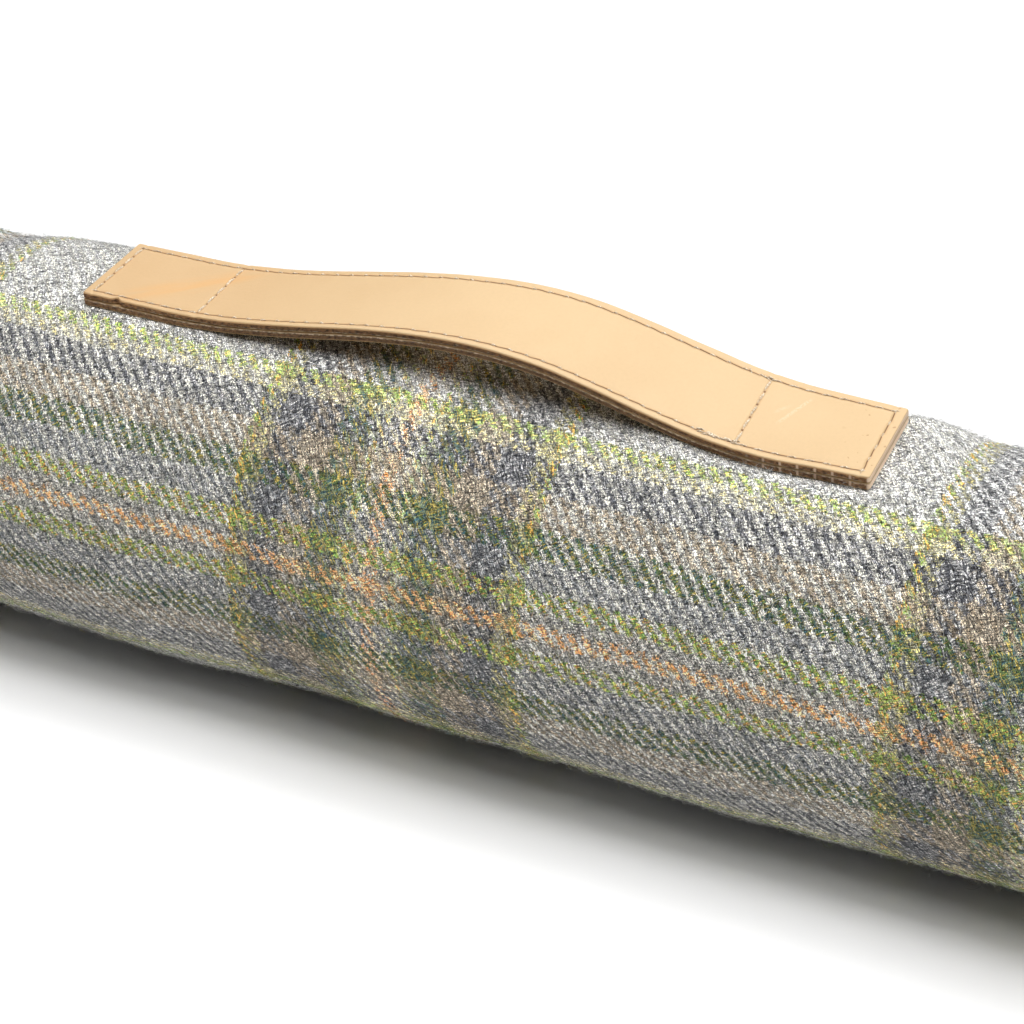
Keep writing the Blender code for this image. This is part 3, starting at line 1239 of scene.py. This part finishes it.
    def surface(self, x: np.ndarray, profile: np.ndarray, angle: np.ndarray) -> np.ndarray:
        """Points of the cloth.

        The point goes round the axis at the profile's radius, scaled by the stuffing, then the
        floor flattens what is below it and the handle presses in its seat.

        Args:
            x: place along the axis.
            profile: radius of the outline there.
            angle: from the front upwards, in radians.

        Returns:
            A point for each, over the floor.
        """
        r = profile * self.stuffed_radius(x, angle) / self.radius
        y = -r * np.cos(angle)
        z = np.maximum(r * np.sin(angle), -self.axis_height)
        z = self.seat(x, y, z)
        return np.stack([np.broadcast_to(x, z.shape), y, z + self.axis_height], -1)

    def round_stations(self) -> np.ndarray:
        """Stations once round from the lengthwise seam, closer beside it.

        Returns:
            The angle of each.
        """
        near = np.array(self.seam_steps) * MM / self.radius
        rest = 2 * np.pi - 2 * near[-1]
        count = round(rest * self.radius / self.round_step)
        middle = np.linspace(near[-1], 2 * np.pi - near[-1], count + 1)[1:-1]
        return self.seam_angle + np.concatenate([near, middle, (2 * np.pi - near)[:0:-1]])

    def build(self) -> None:
        """Makes the cloth skin: the outline turned round the axis, with a pole at each end."""
        x, r = self.outline()
        angle = self.round_stations()
        rows, columns = len(x) - 2, len(angle)
        points = self.surface(x[1:-1, None], r[1:-1, None], angle[None, :]).reshape(-1, 3)
        poles = np.array([[x[0], 0, self.axis_height], [x[-1], 0, self.axis_height]])
        points = np.concatenate([points, poles])
        quads = grid_faces(rows, columns, wrap=True)[:, ::-1]
        ring = np.arange(columns)
        after = (ring + 1) % columns
        last = (rows - 1) * columns
        first_fan = np.column_stack([ring, after, np.full(columns, len(points) - 2)])
        last_fan = np.column_stack([last + after, last + ring, np.full(columns, len(points) - 1)])
        fans = np.concatenate([first_fan, last_fan])
        self.piece = write_mesh("roll_cloth", points, [quads, fans])
        give_map(self.piece, "cloth", self._cloth_map(angle, quads, fans, points))

    def _cloth_map(
        self, angle: np.ndarray, quads: np.ndarray, fans: np.ndarray, points: np.ndarray
    ) -> np.ndarray:
        """Where each face corner lies on the flat cloth, in metres.

        On the tube it is the place along and the arc round from the front, which jumps at the
        seam. Each round end is its own flat piece of cloth.

        Args:
            angle: the stations round the tube.
            quads: the tube's faces.
            fans: the faces at the poles.
            points: where every vertex is.

        Returns:
            One (u, v) for each face corner.
        """
        columns = len(angle)
        corner = np.concatenate([quads.ravel(), fans.ravel()])
        column = corner % columns
        turned = np.append(angle, 0.0)[column]
        wraps = np.zeros(len(quads), bool)
        wraps[columns - 1 :: columns] = True
        on_wrap = np.repeat(wraps, 4)
        quad_corners = len(quads) * 4
        turned[:quad_corners] += np.where(on_wrap & (column[:quad_corners] == 0), 2 * np.pi, 0.0)
        place = points[corner]
        flat = np.column_stack([place[:, 0], turned * self.radius])
        middle_x = np.concatenate(
            [points[quads].mean(1)[:, 0].repeat(4), points[fans].mean(1)[:, 0].repeat(3)]
        )
        end = np.abs(middle_x) > self.seam_x
        side = np.sign(middle_x[end])
        disc_x, disc_y = self.disc_at
        flat[end] = np.column_stack([disc_x + place[end, 1] * side, disc_y + place[end, 2]])
        return flat

    def dress(self, finish: WoolCheck) -> None:
        """Gives the cloth its finish and puts it in the solid's place.

        Args:
            finish: the woven wool.
        """
        self.piece.data.materials.append(finish.material())
        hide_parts("stuffed_roll")
        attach(self.piece, BODY)


# ---------------------------------------------------------------- the nap


@dataclass
class Nap:
    """The fine raised fibres of the fulled wool, each a closed tapered sliver of three sides."""

    roll: StuffedRoll
    check: Check
    name: str
    seed: int
    count: int = 31000
    length: tuple[float, float] = (0.0014, 0.0040)
    thick: tuple[float, float] = (0.00010, 0.00018)
    lift: float = 0.00030  # how far a fibre's middle stands off the cloth
    segments: int = 2
    curl: float = 0.35
    shades: float = 0.42  # spread of light and dark fibres
    in_view_share: float = 0.55  # of the fibres that grow where the cloth is seen close up
    view_x: float = 0.20  # half the stretch that is seen close up
    view_deg: tuple[float, float] = (-56.0, 124.0)
    root_depth: float = 0.00012  # how deep in the cloth a fibre starts
    rest_height: float = 0.00004  # of every fibre over the cloth
    leather_margin: float = 0.0002  # past the strap's edges, where a fibre counts as under it
    clearance: float = 0.0001  # from a fibre to the leather over it, and to the floor
    kind_shares: tuple[float, float, float] = (0.5, 0.3, 0.2)  # of a yarn's three kinds of fibre
    piece: bpy.types.Object = field(init=False)

    def roots(self, rng: np.random.Generator) -> tuple[np.ndarray, np.ndarray]:
        """Where the fibres grow.

        Args:
            rng: the source of chance.

        Returns:
            Places along the axis, and angles from the front.
        """
        near = int(self.count * self.in_view_share)
        far = self.count - near
        reach = self.roll.seam_x - self.roll.shoulder
        low, high = np.radians(self.view_deg)
        seen_x = rng.uniform(-self.view_x, self.view_x, near) + rng.normal(0, 0.02, near)
        seen = rng.uniform(low, high, near) + rng.normal(0, 0.1, near)
        x = np.concatenate([seen_x, rng.uniform(-reach, reach, far)])
        return x, np.concatenate([seen, rng.uniform(0, 2 * np.pi, far)])

    def centrelines(self, rng: np.random.Generator) -> tuple[np.ndarray, np.ndarray, np.ndarray]:
        """The line of each fibre.

        A line starts in the cloth, runs in a chance direction along it, bows off it as a parabola
        and bends sideways with the square of the way along.

        Args:
            rng: the source of chance.

        Returns:
            The points of each line, its root's place along the axis and its root's angle.
        """
        x, angle = self.roots(rng)
        profile = np.full(len(x), self.roll.radius)
        root = self.roll.surface(x, profile, angle)
        tiny = 0.0004
        to_x = self.roll.surface(x + tiny, profile, angle) - root
        to_round = self.roll.surface(x, profile, angle + tiny / self.roll.radius) - root
        to_x, to_round = unit(to_x), unit(to_round)
        out = unit(np.cross(to_round, to_x))
        out *= np.sign((out * (root - [0, 0, self.roll.axis_height])).sum(-1, keepdims=True))
        turn = rng.uniform(0, 2 * np.pi, len(x))[:, None]
        ahead = to_x * np.cos(turn) + to_round * np.sin(turn)
        aside = to_round * np.cos(turn) - to_x * np.sin(turn)
        size = rng.uniform(*self.length, len(x))[:, None, None]
        t = np.linspace(0, 1, self.segments + 1)[None, :, None]
        bend = rng.normal(0, self.curl, len(x))[:, None, None]
        twist = rng.normal(0, self.curl, len(x))[:, None, None]
        stand = rng.gamma(1.6, 0.6, len(x))[:, None, None] * self.lift
        lean = rng.normal(0.25, 0.5, len(x))[:, None, None]
        lines = root[:, None] + ahead[:, None] * size * t * (1 - 0.25 * abs(bend) * t)
        lines = lines + aside[:, None] * size * (bend * t**2 + twist * t * (1 - t) * (1 - 2 * t) * 3)
        rise = stand * (4 * t * (1 - t) + lean * t**2) - self.root_depth * (1 - t) + self.rest_height
        from_axis = lines - np.array([0, 0, self.roll.axis_height])
        drop = np.hypot(from_axis[..., 1:2], from_axis[..., 2:3])
        flatten = np.hypot(root[:, 1], root[:, 2] - self.roll.axis_height)[:, None, None] / drop
        lines[..., 1:] = from_axis[..., 1:] * flatten + [0, self.roll.axis_height]
        return lines + out[:, None] * rise, x, angle

    def clear_of_leather(self, lines: np.ndarray) -> np.ndarray:
        """Which fibres stay under or beside the handle, and over the floor.

        Args:
            lines: the points of each fibre.

        Returns:
            True for each that does.
        """
        strap = self.roll.strap
        x, y, z = lines[..., 0], lines[..., 1], lines[..., 2]
        under = strap.crown + strap.rise(x) + (y - strap.middle_y) * np.tan(strap.tilt(x))
        inside = np.abs(x) < strap.length / 2 + self.leather_margin
        inside &= np.abs(y - strap.middle_y) < strap.width / 2 + self.leather_margin
        return ~(inside & (z > under - self.clearance)).any(1) & (z > self.clearance).all(1)

    def tints(self, rng: np.random.Generator, x: np.ndarray, angle: np.ndarray) -> np.ndarray:
        """The colour of the thread that each fibre grows from, a little lighter or darker.

        Args:
            rng: the source of chance.
            x: the roots' places along the axis.
            angle: the roots' angles.

        Returns:
            A linear colour for each.
        """
        start = self.roll.seam_angle
        arc = self.roll.radius * ((angle - start) % (2 * np.pi) + start)
        kind = rng.choice(3, len(x), p=self.kind_shares)
        one = self.check.round_threads.colours_at(x, kind)
        other = self.check.long_threads.colours_at(arc + self.check.drift * x, kind)
        colours = np.where(rng.random(len(x))[:, None] < 0.5, one, other)
        return np.clip(colours * np.exp(rng.normal(-0.1, self.shades, len(x)))[:, None], 0.0, 0.8)

    def build(self) -> None:
        """Makes the fibres as one mesh: a point at each end, and rings of three between them.

        The girth is a parabola that is thickest halfway along.
        """
        rng = np.random.default_rng(self.seed)
        lines, x, angle = self.centrelines(rng)
        keep = self.clear_of_leather(lines)
        lines, x, angle = lines[keep], x[keep], angle[keep]
        count, rings = len(lines), self.segments - 1
        along = unit(np.gradient(lines, axis=1))[:, 1:-1]
        slanting = np.array([0.31, -0.52, 0.79])  # any direction that hardly a fibre follows
        side = unit(np.cross(along, slanting))
        other = np.cross(along, side)
        turn = np.arange(3) * 2 * np.pi / 3
        t = np.linspace(-1, 1, self.segments + 1)[1:-1]
        girth = rng.uniform(*self.thick, count)[:, None] / 2 * (1 - 0.6 * t**2)
        spoke = side[:, :, None] * np.cos(turn)[:, None] + other[:, :, None] * np.sin(turn)[:, None]
        hull = lines[:, 1:-1, None] + spoke * girth[..., None, None]
        points = np.concatenate([lines[:, :1], hull.reshape(count, -1, 3), lines[:, -1:]], axis=1)
        each = rings * 3 + 2
        base = (np.arange(count) * each)[:, None, None]
        wall = grid_faces(rings, 3, wrap=True)[None] + 1 + base
        ring, after = np.arange(3) + 1, (np.arange(3) + 1) % 3 + 1
        last = (rings - 1) * 3
        root = np.column_stack([after, ring, np.zeros(3, int)])
        tip = np.column_stack([last + ring, last + after, np.full(3, each - 1)])
        cones = np.concatenate([root, tip])[None] + base
        faces = [wall.reshape(-1, 4), cones.reshape(-1, 3)]
        self.piece = write_mesh(self.name, points.reshape(-1, 3), faces, 180.0)
        give_colour(self.piece, "tint", np.repeat(self.tints(rng, x, angle), each, axis=0))

    def dress(self, material: bpy.types.Material) -> None:
        """Gives the fibres their finish.

        Args:
            material: the wool's.
        """
        self.piece.data.materials.append(material)
        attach(self.piece, BODY)


# ---------------------------------------------------------------- the handle


@dataclass
class LeatherStrip:
    """One leather strip of the handle, as a rounded section carried along the arch."""

    strap: StrapForm
    name: str
    solid: str
    lift: float  # of its underside over the handle's
    edge_round: float
    along_step: float
    across_step: float
    corner: float = 0.0011  # rounding of the strip's corners, seen from above
    waver: float = 0.00018  # unevenness of the cut edge
    waver_wave: float = 0.018
    notch: float = 0.0  # depth of the nick in the front edge near the left end
    notch_at: float = -0.1125
    notch_half: float = 0.0011
    press: float = 0.00022  # depth of the trough along the stitches
    press_half: float = 0.0009
    press_end: float = 0.0004  # how far past the end rows the trough still lies
    seed: int = 5
    piece: bpy.types.Object = field(init=False)

    def section(self) -> tuple[np.ndarray, np.ndarray, np.ndarray, np.ndarray]:
        """The strip's closed section, front edge first.

        Returns:
            The share across of the section's core, from -1 to 1, its share of the height, and the
            cosine and sine that the edge's rounding adds.
        """
        count = round((self.strap.width - 2 * self.edge_round) / self.across_step)
        run = np.linspace(-1, 1, count + 1)
        bend = np.linspace(0, np.pi / 2, 5)[1:]
        wall = np.linspace(-1, 1, 5)[1:-1]
        runs = (
            (run, -1, 0, -1),
            (1, -1, np.sin(bend), -np.cos(bend)),
            (1, wall, 1, 0),
            (1, 1, np.cos(bend), np.sin(bend)),
            (run[-2::-1], 1, 0, 1),
            (-1, 1, -np.sin(bend), np.cos(bend)),
            (-1, wall[::-1], -1, 0),
            (-1, -1, -np.cos(bend[:-1]), -np.sin(bend[:-1])),
        )
        return tuple(np.concatenate([np.stack(np.broadcast_arrays(*part)) for part in runs], axis=1))

    def stations(self) -> np.ndarray:
        """Stations along the strip, closer together where its ends round off.

        Returns:
            The distance of each from the strip's middle.
        """
        half = self.strap.length / 2
        rounded = half - self.corner * (1 - np.sin(np.linspace(0, np.pi / 2, 8)))
        count = round(2 * rounded[0] / self.along_step)
        body = np.linspace(-rounded[0], rounded[0], count + 1)[1:-1]
        return np.concatenate([-rounded[::-1], body, rounded])

    def build(self) -> None:
        """Makes the strip as a closed skin.

        The half width less the corner's rounding, and the half height less the edge's, are
        circles of the distance from the strip's end.
        """
        strap = self.strap
        s = self.stations()
        core, tall, cos, sin = self.section()
        from_end = strap.length / 2 - np.abs(s)
        corner_in = np.maximum(self.corner - from_end, 0)
        corner_in = self.corner - np.sqrt(np.maximum(self.corner**2 - corner_in**2, 0))
        edge_in = np.maximum(self.edge_round - from_end, 0)
        edge_in = self.edge_round - np.sqrt(np.maximum(self.edge_round**2 - edge_in**2, 0))
        half_w = strap.width / 2 - self.edge_round - corner_in
        half_h = strap.leather / 2 - self.edge_round - edge_in
        across = core * half_w[:, None] + cos * self.edge_round
        lift = strap.leather / 2 + tall * half_h[:, None] + sin * self.edge_round
        along = np.broadcast_to(s[:, None], across.shape)
        wander = self.waver * ripple(along, np.sign(across) * 0.5, self.waver_wave, self.seed)
        across_cut = across + wander * np.abs(core) ** 6 * np.sign(across) * 0.5
        nick = self.notch * np.exp(-(((s[:, None] - self.notch_at) / self.notch_half) ** 2))
        across_cut = across_cut + nick * np.abs(core) ** 12 * (across < 0)
        level = lift / strap.leather
        lift = lift - self.pressed(along, across) * smooth_step(level * 2 - 1)
        points = strap.place(along, across_cut, self.lift + lift)
        rows, columns = across.shape
        quads = grid_faces(rows, columns, wrap=True)
        caps = np.stack([np.arange(columns)[::-1], (rows - 1) * columns + np.arange(columns)])
        self.piece = write_mesh(self.name, points.reshape(-1, 3), [quads[:, ::-1], caps[:, ::-1]], 35.0)
        corner = np.concatenate([quads[:, ::-1].ravel(), caps[:, ::-1].ravel()])
        flat = np.stack([along, across], -1).reshape(-1, 2)
        give_map(self.piece, "strip", flat[corner])
        end_wall = smooth_step((self.edge_round * 0.5 - from_end) / (self.edge_round * 0.5))
        side_wall = np.abs(cos) ** 2
        cut = np.maximum(np.broadcast_to(side_wall, across.shape), end_wall[:, None])
        give_number(self.piece, "cut", cut)
        give_number(self.piece, "level", level)

    def pressed(self, along: np.ndarray, across: np.ndarray) -> np.ndarray:
        """How far the face lies lower along the rows of stitches, as a gaussian of the distance.

        Args:
            along: distance along the strip from its middle.
            across: distance across it.

        Returns:
            The depth at each.
        """
        plan = SewingPlan(self.strap)
        off_row = np.abs(np.abs(across) - plan.row)
        off_end = np.minimum(np.abs(np.abs(along) - plan.end), np.abs(np.abs(along) - plan.cross))
        off = np.minimum(off_row, off_end)
        outside = np.abs(along) > plan.end + self.press_end
        return self.press * np.exp(-((off / self.press_half) ** 2)) * ~outside

    def dress(self, material: bpy.types.Material) -> None:
        """Gives the strip its finish and puts it in its solid's place.

        Args:
            material: the leather's.
        """
        self.piece.data.materials.append(material)
        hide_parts(self.solid)
        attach(self.piece, BODY)


@dataclass
class HandleSewing:
    """The handle's stitches: two-ply twisted threads that come up at the holes."""

    plan: SewingPlan
    ply: float = 0.00015  # radius of one ply of the long rows
    bold_ply: float = 0.00023  # the same of the rows across
    low: float = 0.00004  # how high a thread between two slits stands over the face
    high: float = 0.00012  # the same of a thread that lies on top
    sunk: float = 0.00034  # how deep a thread's ends go
    lay: float = 0.0022  # over which the plies turn once
    slit_thread: float = 0.0013  # shortest length that shows along the arch
    drawn_thread: float = 0.0023  # the same past the rows across
    end_thread: tuple[float, float] = (0.0014, 0.0026)
    bar: tuple[float, float] = (0.0042, 0.0046)
    tangle_thread: tuple[float, float] = (0.0018, 0.0034)
    tangles: tuple[tuple[int, int, float], ...] = ((-1, 18, 0.0042), (1, 4, 0.001))
    tangle_spread: tuple[float, float] = (0.0032, 0.0005)
    sides: int = 5
    steps: int = 8
    seed: int = 21
    piece: bpy.types.Object = field(init=False)

    @staticmethod
    def _threads(
        along: np.ndarray | float,
        across: np.ndarray | float,
        way: tuple[np.ndarray | float, np.ndarray | float],
        sizes: np.ndarray,
        ply: float,
        high: float,
    ) -> np.ndarray:
        """Rows for bits of thread of one kind.

        Args:
            along: their middles, along the strap.
            across: their middles, across it.
            way: their direction along and across.
            sizes: their lengths.
            ply: radius of a ply.
            high: how high their middles stand over the face.

        Returns:
            A row of seven numbers for each.
        """
        return np.stack(np.broadcast_arrays(along, across, *way, sizes, ply, high), -1).reshape(-1, 7)

    def stitches(self) -> np.ndarray:
        """The visible bits of thread.

        They are the long rows, the end row, the bars that lie on top of the rows across, and the
        loose ends beside the right-hand one.

        Returns:
            A row for each: middle along and across the strap, direction along and across, length,
            radius of a ply, and how high its middle stands over the face.
        """
        plan = self.plan
        rng = np.random.default_rng(self.seed)
        holes = np.linspace(-plan.end, plan.end, round(2 * plan.end / plan.pitch) + 1)
        edge_holes = np.linspace(-plan.row, plan.row, round(2 * plan.row / plan.pitch) + 1)
        between = (edge_holes[1:] + edge_holes[:-1]) / 2
        drawn = np.where(np.abs(holes) > plan.cross, self.drawn_thread, self.slit_thread)
        skew, square = (1.0, 0.10), (0.10, 1.0)
        made = []
        for across in (-plan.row, plan.row):
            sizes = rng.uniform(1.0, 1.5, len(holes)) * drawn
            made.append(self._threads(holes, across, skew, sizes, self.ply, self.low))
        sizes = rng.uniform(*self.end_thread, len(edge_holes))
        made.append(self._threads(plan.end, edge_holes, square, sizes, self.ply, self.low))
        for at in plan.threaded_rows:
            sizes = rng.uniform(*self.bar, len(between))
            made.append(self._threads(at, between, square, sizes, self.bold_ply, self.high))
        for side, count, back in self.tangles:
            off = rng.normal(0, 1, (2, count))
            turn = rng.normal(0, 0.4, count)
            along = plan.cross - back + off[0] * self.tangle_spread[0]
            across = side * plan.row + off[1] * self.tangle_spread[1]
            way = (np.cos(turn), np.sin(turn))
            sizes = rng.uniform(*self.tangle_thread, count)
            made.append(self._threads(along, across, way, sizes, self.ply, self.high))
        return np.concatenate(made)

    def build(self) -> None:
        """Makes the stitches.

        Each ply winds round the stitch's line as a helix, and the line bows up out of the leather
        as a sine of the way along.
        """
        strap = self.plan.strap
        rows = self.stitches()
        middle, way, size, ply, high = rows[:, :2], unit(rows[:, 2:4]), rows[:, 4], rows[:, 5], rows[:, 6]
        t = np.linspace(0, 1, self.steps + 1)
        flat = middle[:, None] + way[:, None] * (size[:, None, None] * (t - 0.5)[:, None])
        face = 2 * strap.leather + strap.gap
        bow = face - self.sunk + (self.sunk + high[:, None]) * np.sin(np.pi * t)
        centre = strap.place(flat[..., 0], flat[..., 1], bow)
        ahead = unit(np.gradient(centre, axis=1))
        up = strap.up(flat[..., 0])
        aside = unit(np.cross(ahead, up))
        up = np.cross(aside, ahead)
        turns = 2 * np.pi * (size[:, None] / self.lay) * t
        spin = np.arange(self.sides) * 2 * np.pi / self.sides
        narrow = ply[:, None] * (0.35 + 0.65 * np.sqrt(np.sin(np.pi * np.clip(t, 0.02, 0.98))))
        ring = aside[:, :, None] * np.cos(spin)[:, None] + up[:, :, None] * np.sin(spin)[:, None]
        tubes = []
        for phase in (0.0, np.pi):
            wound = turns + phase
            swing = aside * np.cos(wound)[..., None] + up * np.sin(wound)[..., None]
            core = centre + swing * ply[:, None, None] * 0.8
            tubes.append(core[:, :, None] + ring * narrow[..., None, None])
        hull = np.concatenate(tubes)
        each = (self.steps + 1) * self.sides
        base = (np.arange(len(hull)) * each)[:, None, None]
        wall = grid_faces(self.steps + 1, self.sides, wrap=True)[None] + base
        cap = np.arange(self.sides)
        ends = np.stack([cap[::-1], each - self.sides + cap])[None] + base
        faces = [wall.reshape(-1, 4), ends.reshape(-1, self.sides)]
        self.piece = write_mesh("handle_sewing", hull.reshape(-1, 3), faces, 70.0)

    def dress(self, finish: WaxedThread) -> None:
        """Gives the stitches their finish.

        Args:
            finish: the thread's.
        """
        self.piece.data.materials.append(finish.material())
        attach(self.piece, BODY)


# ---------------------------------------------------------------- the studio


@dataclass(frozen=True)
class Lamp:
    """A soft rectangular lamp that faces the roll. Its angles are in degrees, as the camera's."""

    name: str
    power: float  # in watts
    size: tuple[float, float]
    azimuth: float
    elevation: float
    away: float  # distance from the target


@dataclass
class Studio:
    """White floor, soft lamps overhead, behind and to the right, and the camera."""

    azimuth: float = 26.25
    elevation: float = 29.96
    distance: float = 0.7696
    target: tuple[float, float, float] = (0.00945, 0.0, 0.0660)
    lens: float = 91.39
    floor_half: float = 9.0
    lamps: tuple[Lamp, ...] = (
        Lamp("overhead", 27.5, (2.6, 1.0), 0.0, 89.0, 1.8),
        Lamp("high_back", 5.0, (1.2, 0.6), 180.0, 75.0, 1.8),
        Lamp("key", 17.0, (2.6, 1.0), 0.0, 72.0, 1.8),
        Lamp("back", 9.0, (3.0, 1.0), 180.0, 45.0, 1.9),
        Lamp("right", 15.0, (1.5, 1.5), 90.0, 45.0, 2.0),
    )
    ambient: float = 0.065  # strength of the light from all round

    @staticmethod
    def _back(azimuth: float, elevation: float) -> Vector:
        """Unit vector from the target towards a camera or lamp at these angles, in degrees."""
        a, e = math.radians(azimuth), math.radians(elevation)
        return Vector((math.sin(a) * math.cos(e), -math.cos(a) * math.cos(e), math.sin(e)))

    def lay_floor(self, finish: PaleFloor) -> None:
        """Makes the plain pale floor.

        Args:
            finish: its white.
        """
        h = self.floor_half
        points = np.array([[-h, -h, 0], [h, -h, 0], [h, h, 0], [-h, h, 0]])
        floor = write_mesh("studio_floor", points, [np.array([[0, 1, 2, 3]])])
        floor.data.materials.append(finish.material())

    def hang(self, lamp: Lamp) -> None:
        """Makes one lamp.

        Args:
            lamp: its size, strength and place.
        """
        light = bpy.data.lights.new(lamp.name, "AREA")
        light.shape = "RECTANGLE"
        light.size, light.size_y = lamp.size
        light.energy = lamp.power
        hung = bpy.data.objects.new(lamp.name, light)
        back = self._back(lamp.azimuth, lamp.elevation)
        hung.location = Vector(self.target) + back * lamp.away
        hung.rotation_euler = back.to_track_quat("Z", "Y").to_euler()
        bpy.context.scene.collection.objects.link(hung)

    def light(self) -> None:
        """Hangs the lamps and sets the light from all round."""
        for lamp in self.lamps:
            self.hang(lamp)
        world = bpy.data.worlds.new("studio")
        world.use_nodes = True
        sky = world.node_tree.nodes["Background"]
        sky.inputs["Color"].default_value = (1.0, 1.0, 1.0, 1.0)
        sky.inputs["Strength"].default_value = self.ambient
        bpy.context.scene.world = world
        bpy.context.scene.view_settings.view_transform = "Standard"

    def place_camera(self) -> None:
        """Stands the camera where the photograph was taken from."""
        lens = bpy.data.cameras.new("camera")
        lens.sensor_width = 36.0
        lens.lens = self.lens
        lens.clip_start = 0.02
        lens.clip_end = 50.0
        camera = bpy.data.objects.new("camera", lens)
        back = self._back(self.azimuth, self.elevation)
        camera.location = Vector(self.target) + back * self.distance
        camera.rotation_euler = back.to_track_quat("Z", "Y").to_euler()
        bpy.context.scene.collection.objects.link(camera)
        bpy.context.scene.camera = camera


def report(piece: bpy.types.Object) -> None:
    """Logs a piece's name, faces and size."""
    size = ", ".join(f"{side / MM:.1f}" for side in piece.dimensions)
    LOG.info("%s: %d faces, %s mm", piece.name, len(piece.data.polygons), size)


def main() -> None:
    """Builds and dresses every piece, then lights it."""
    logging.basicConfig(level=logging.INFO, format="%(name)s: %(message)s")
    strap = StrapForm()
    plan = SewingPlan(strap)
    check = Check()

    roll = StuffedRoll(strap)
    roll.build()
    roll.dress(WoolCheck(check))
    report(roll.piece)

    fibre = WoolFibre().material()
    naps = [
        Nap(roll, check, "nap_a", seed=31),
        Nap(roll, check, "nap_b", seed=32),
        Nap(roll, check, "nap_c", seed=34, thick=(0.00008, 0.00014), lift=0.00045),
        Nap(
            roll,
            check,
            "nap_long",
            seed=33,
            count=4500,
            length=(0.0040, 0.0090),
            thick=(0.00005, 0.00009),
            lift=0.0009,
            segments=5,
            curl=0.6,
        ),
    ]
    for nap in naps:
        nap.build()
        nap.dress(fibre)
        report(nap.piece)

    leather = LeatherStrip(
        strap,
        "handle_face_leather",
        "handle_upper",
        lift=strap.leather + strap.gap,
        edge_round=0.0006,
        along_step=0.0005,
        across_step=0.0004,
        notch=0.0012,
    )
    leather.build()
    leather.dress(TanLeather("tan_leather").material(plan))
    report(leather.piece)
    backing = LeatherStrip(
        strap,
        "handle_back_leather",
        "handle_under",
        lift=0.0,
        edge_round=0.0004,
        along_step=0.0012,
        across_step=0.0012,
        seed=6,
    )
    backing.build()
    back_leather = TanLeather(
        "tan_leather_back",
        lip=(232, 212, 180),
        edge=(160, 120, 84),
        edge_dark=(70, 47, 31),
        flesh=(196, 160, 116),
        flesh_share=0.9,
        lip_whole=0.12,
        stitched=False,
    )
    backing.dress(back_leather.material(plan))
    report(backing.piece)

    sewing = HandleSewing(plan)
    sewing.build()
    sewing.dress(WaxedThread())
    report(sewing.piece)

    studio = Studio()
    studio.lay_floor(PaleFloor())
    studio.light()
    studio.place_camera()


if __name__ == "__main__":
    main()
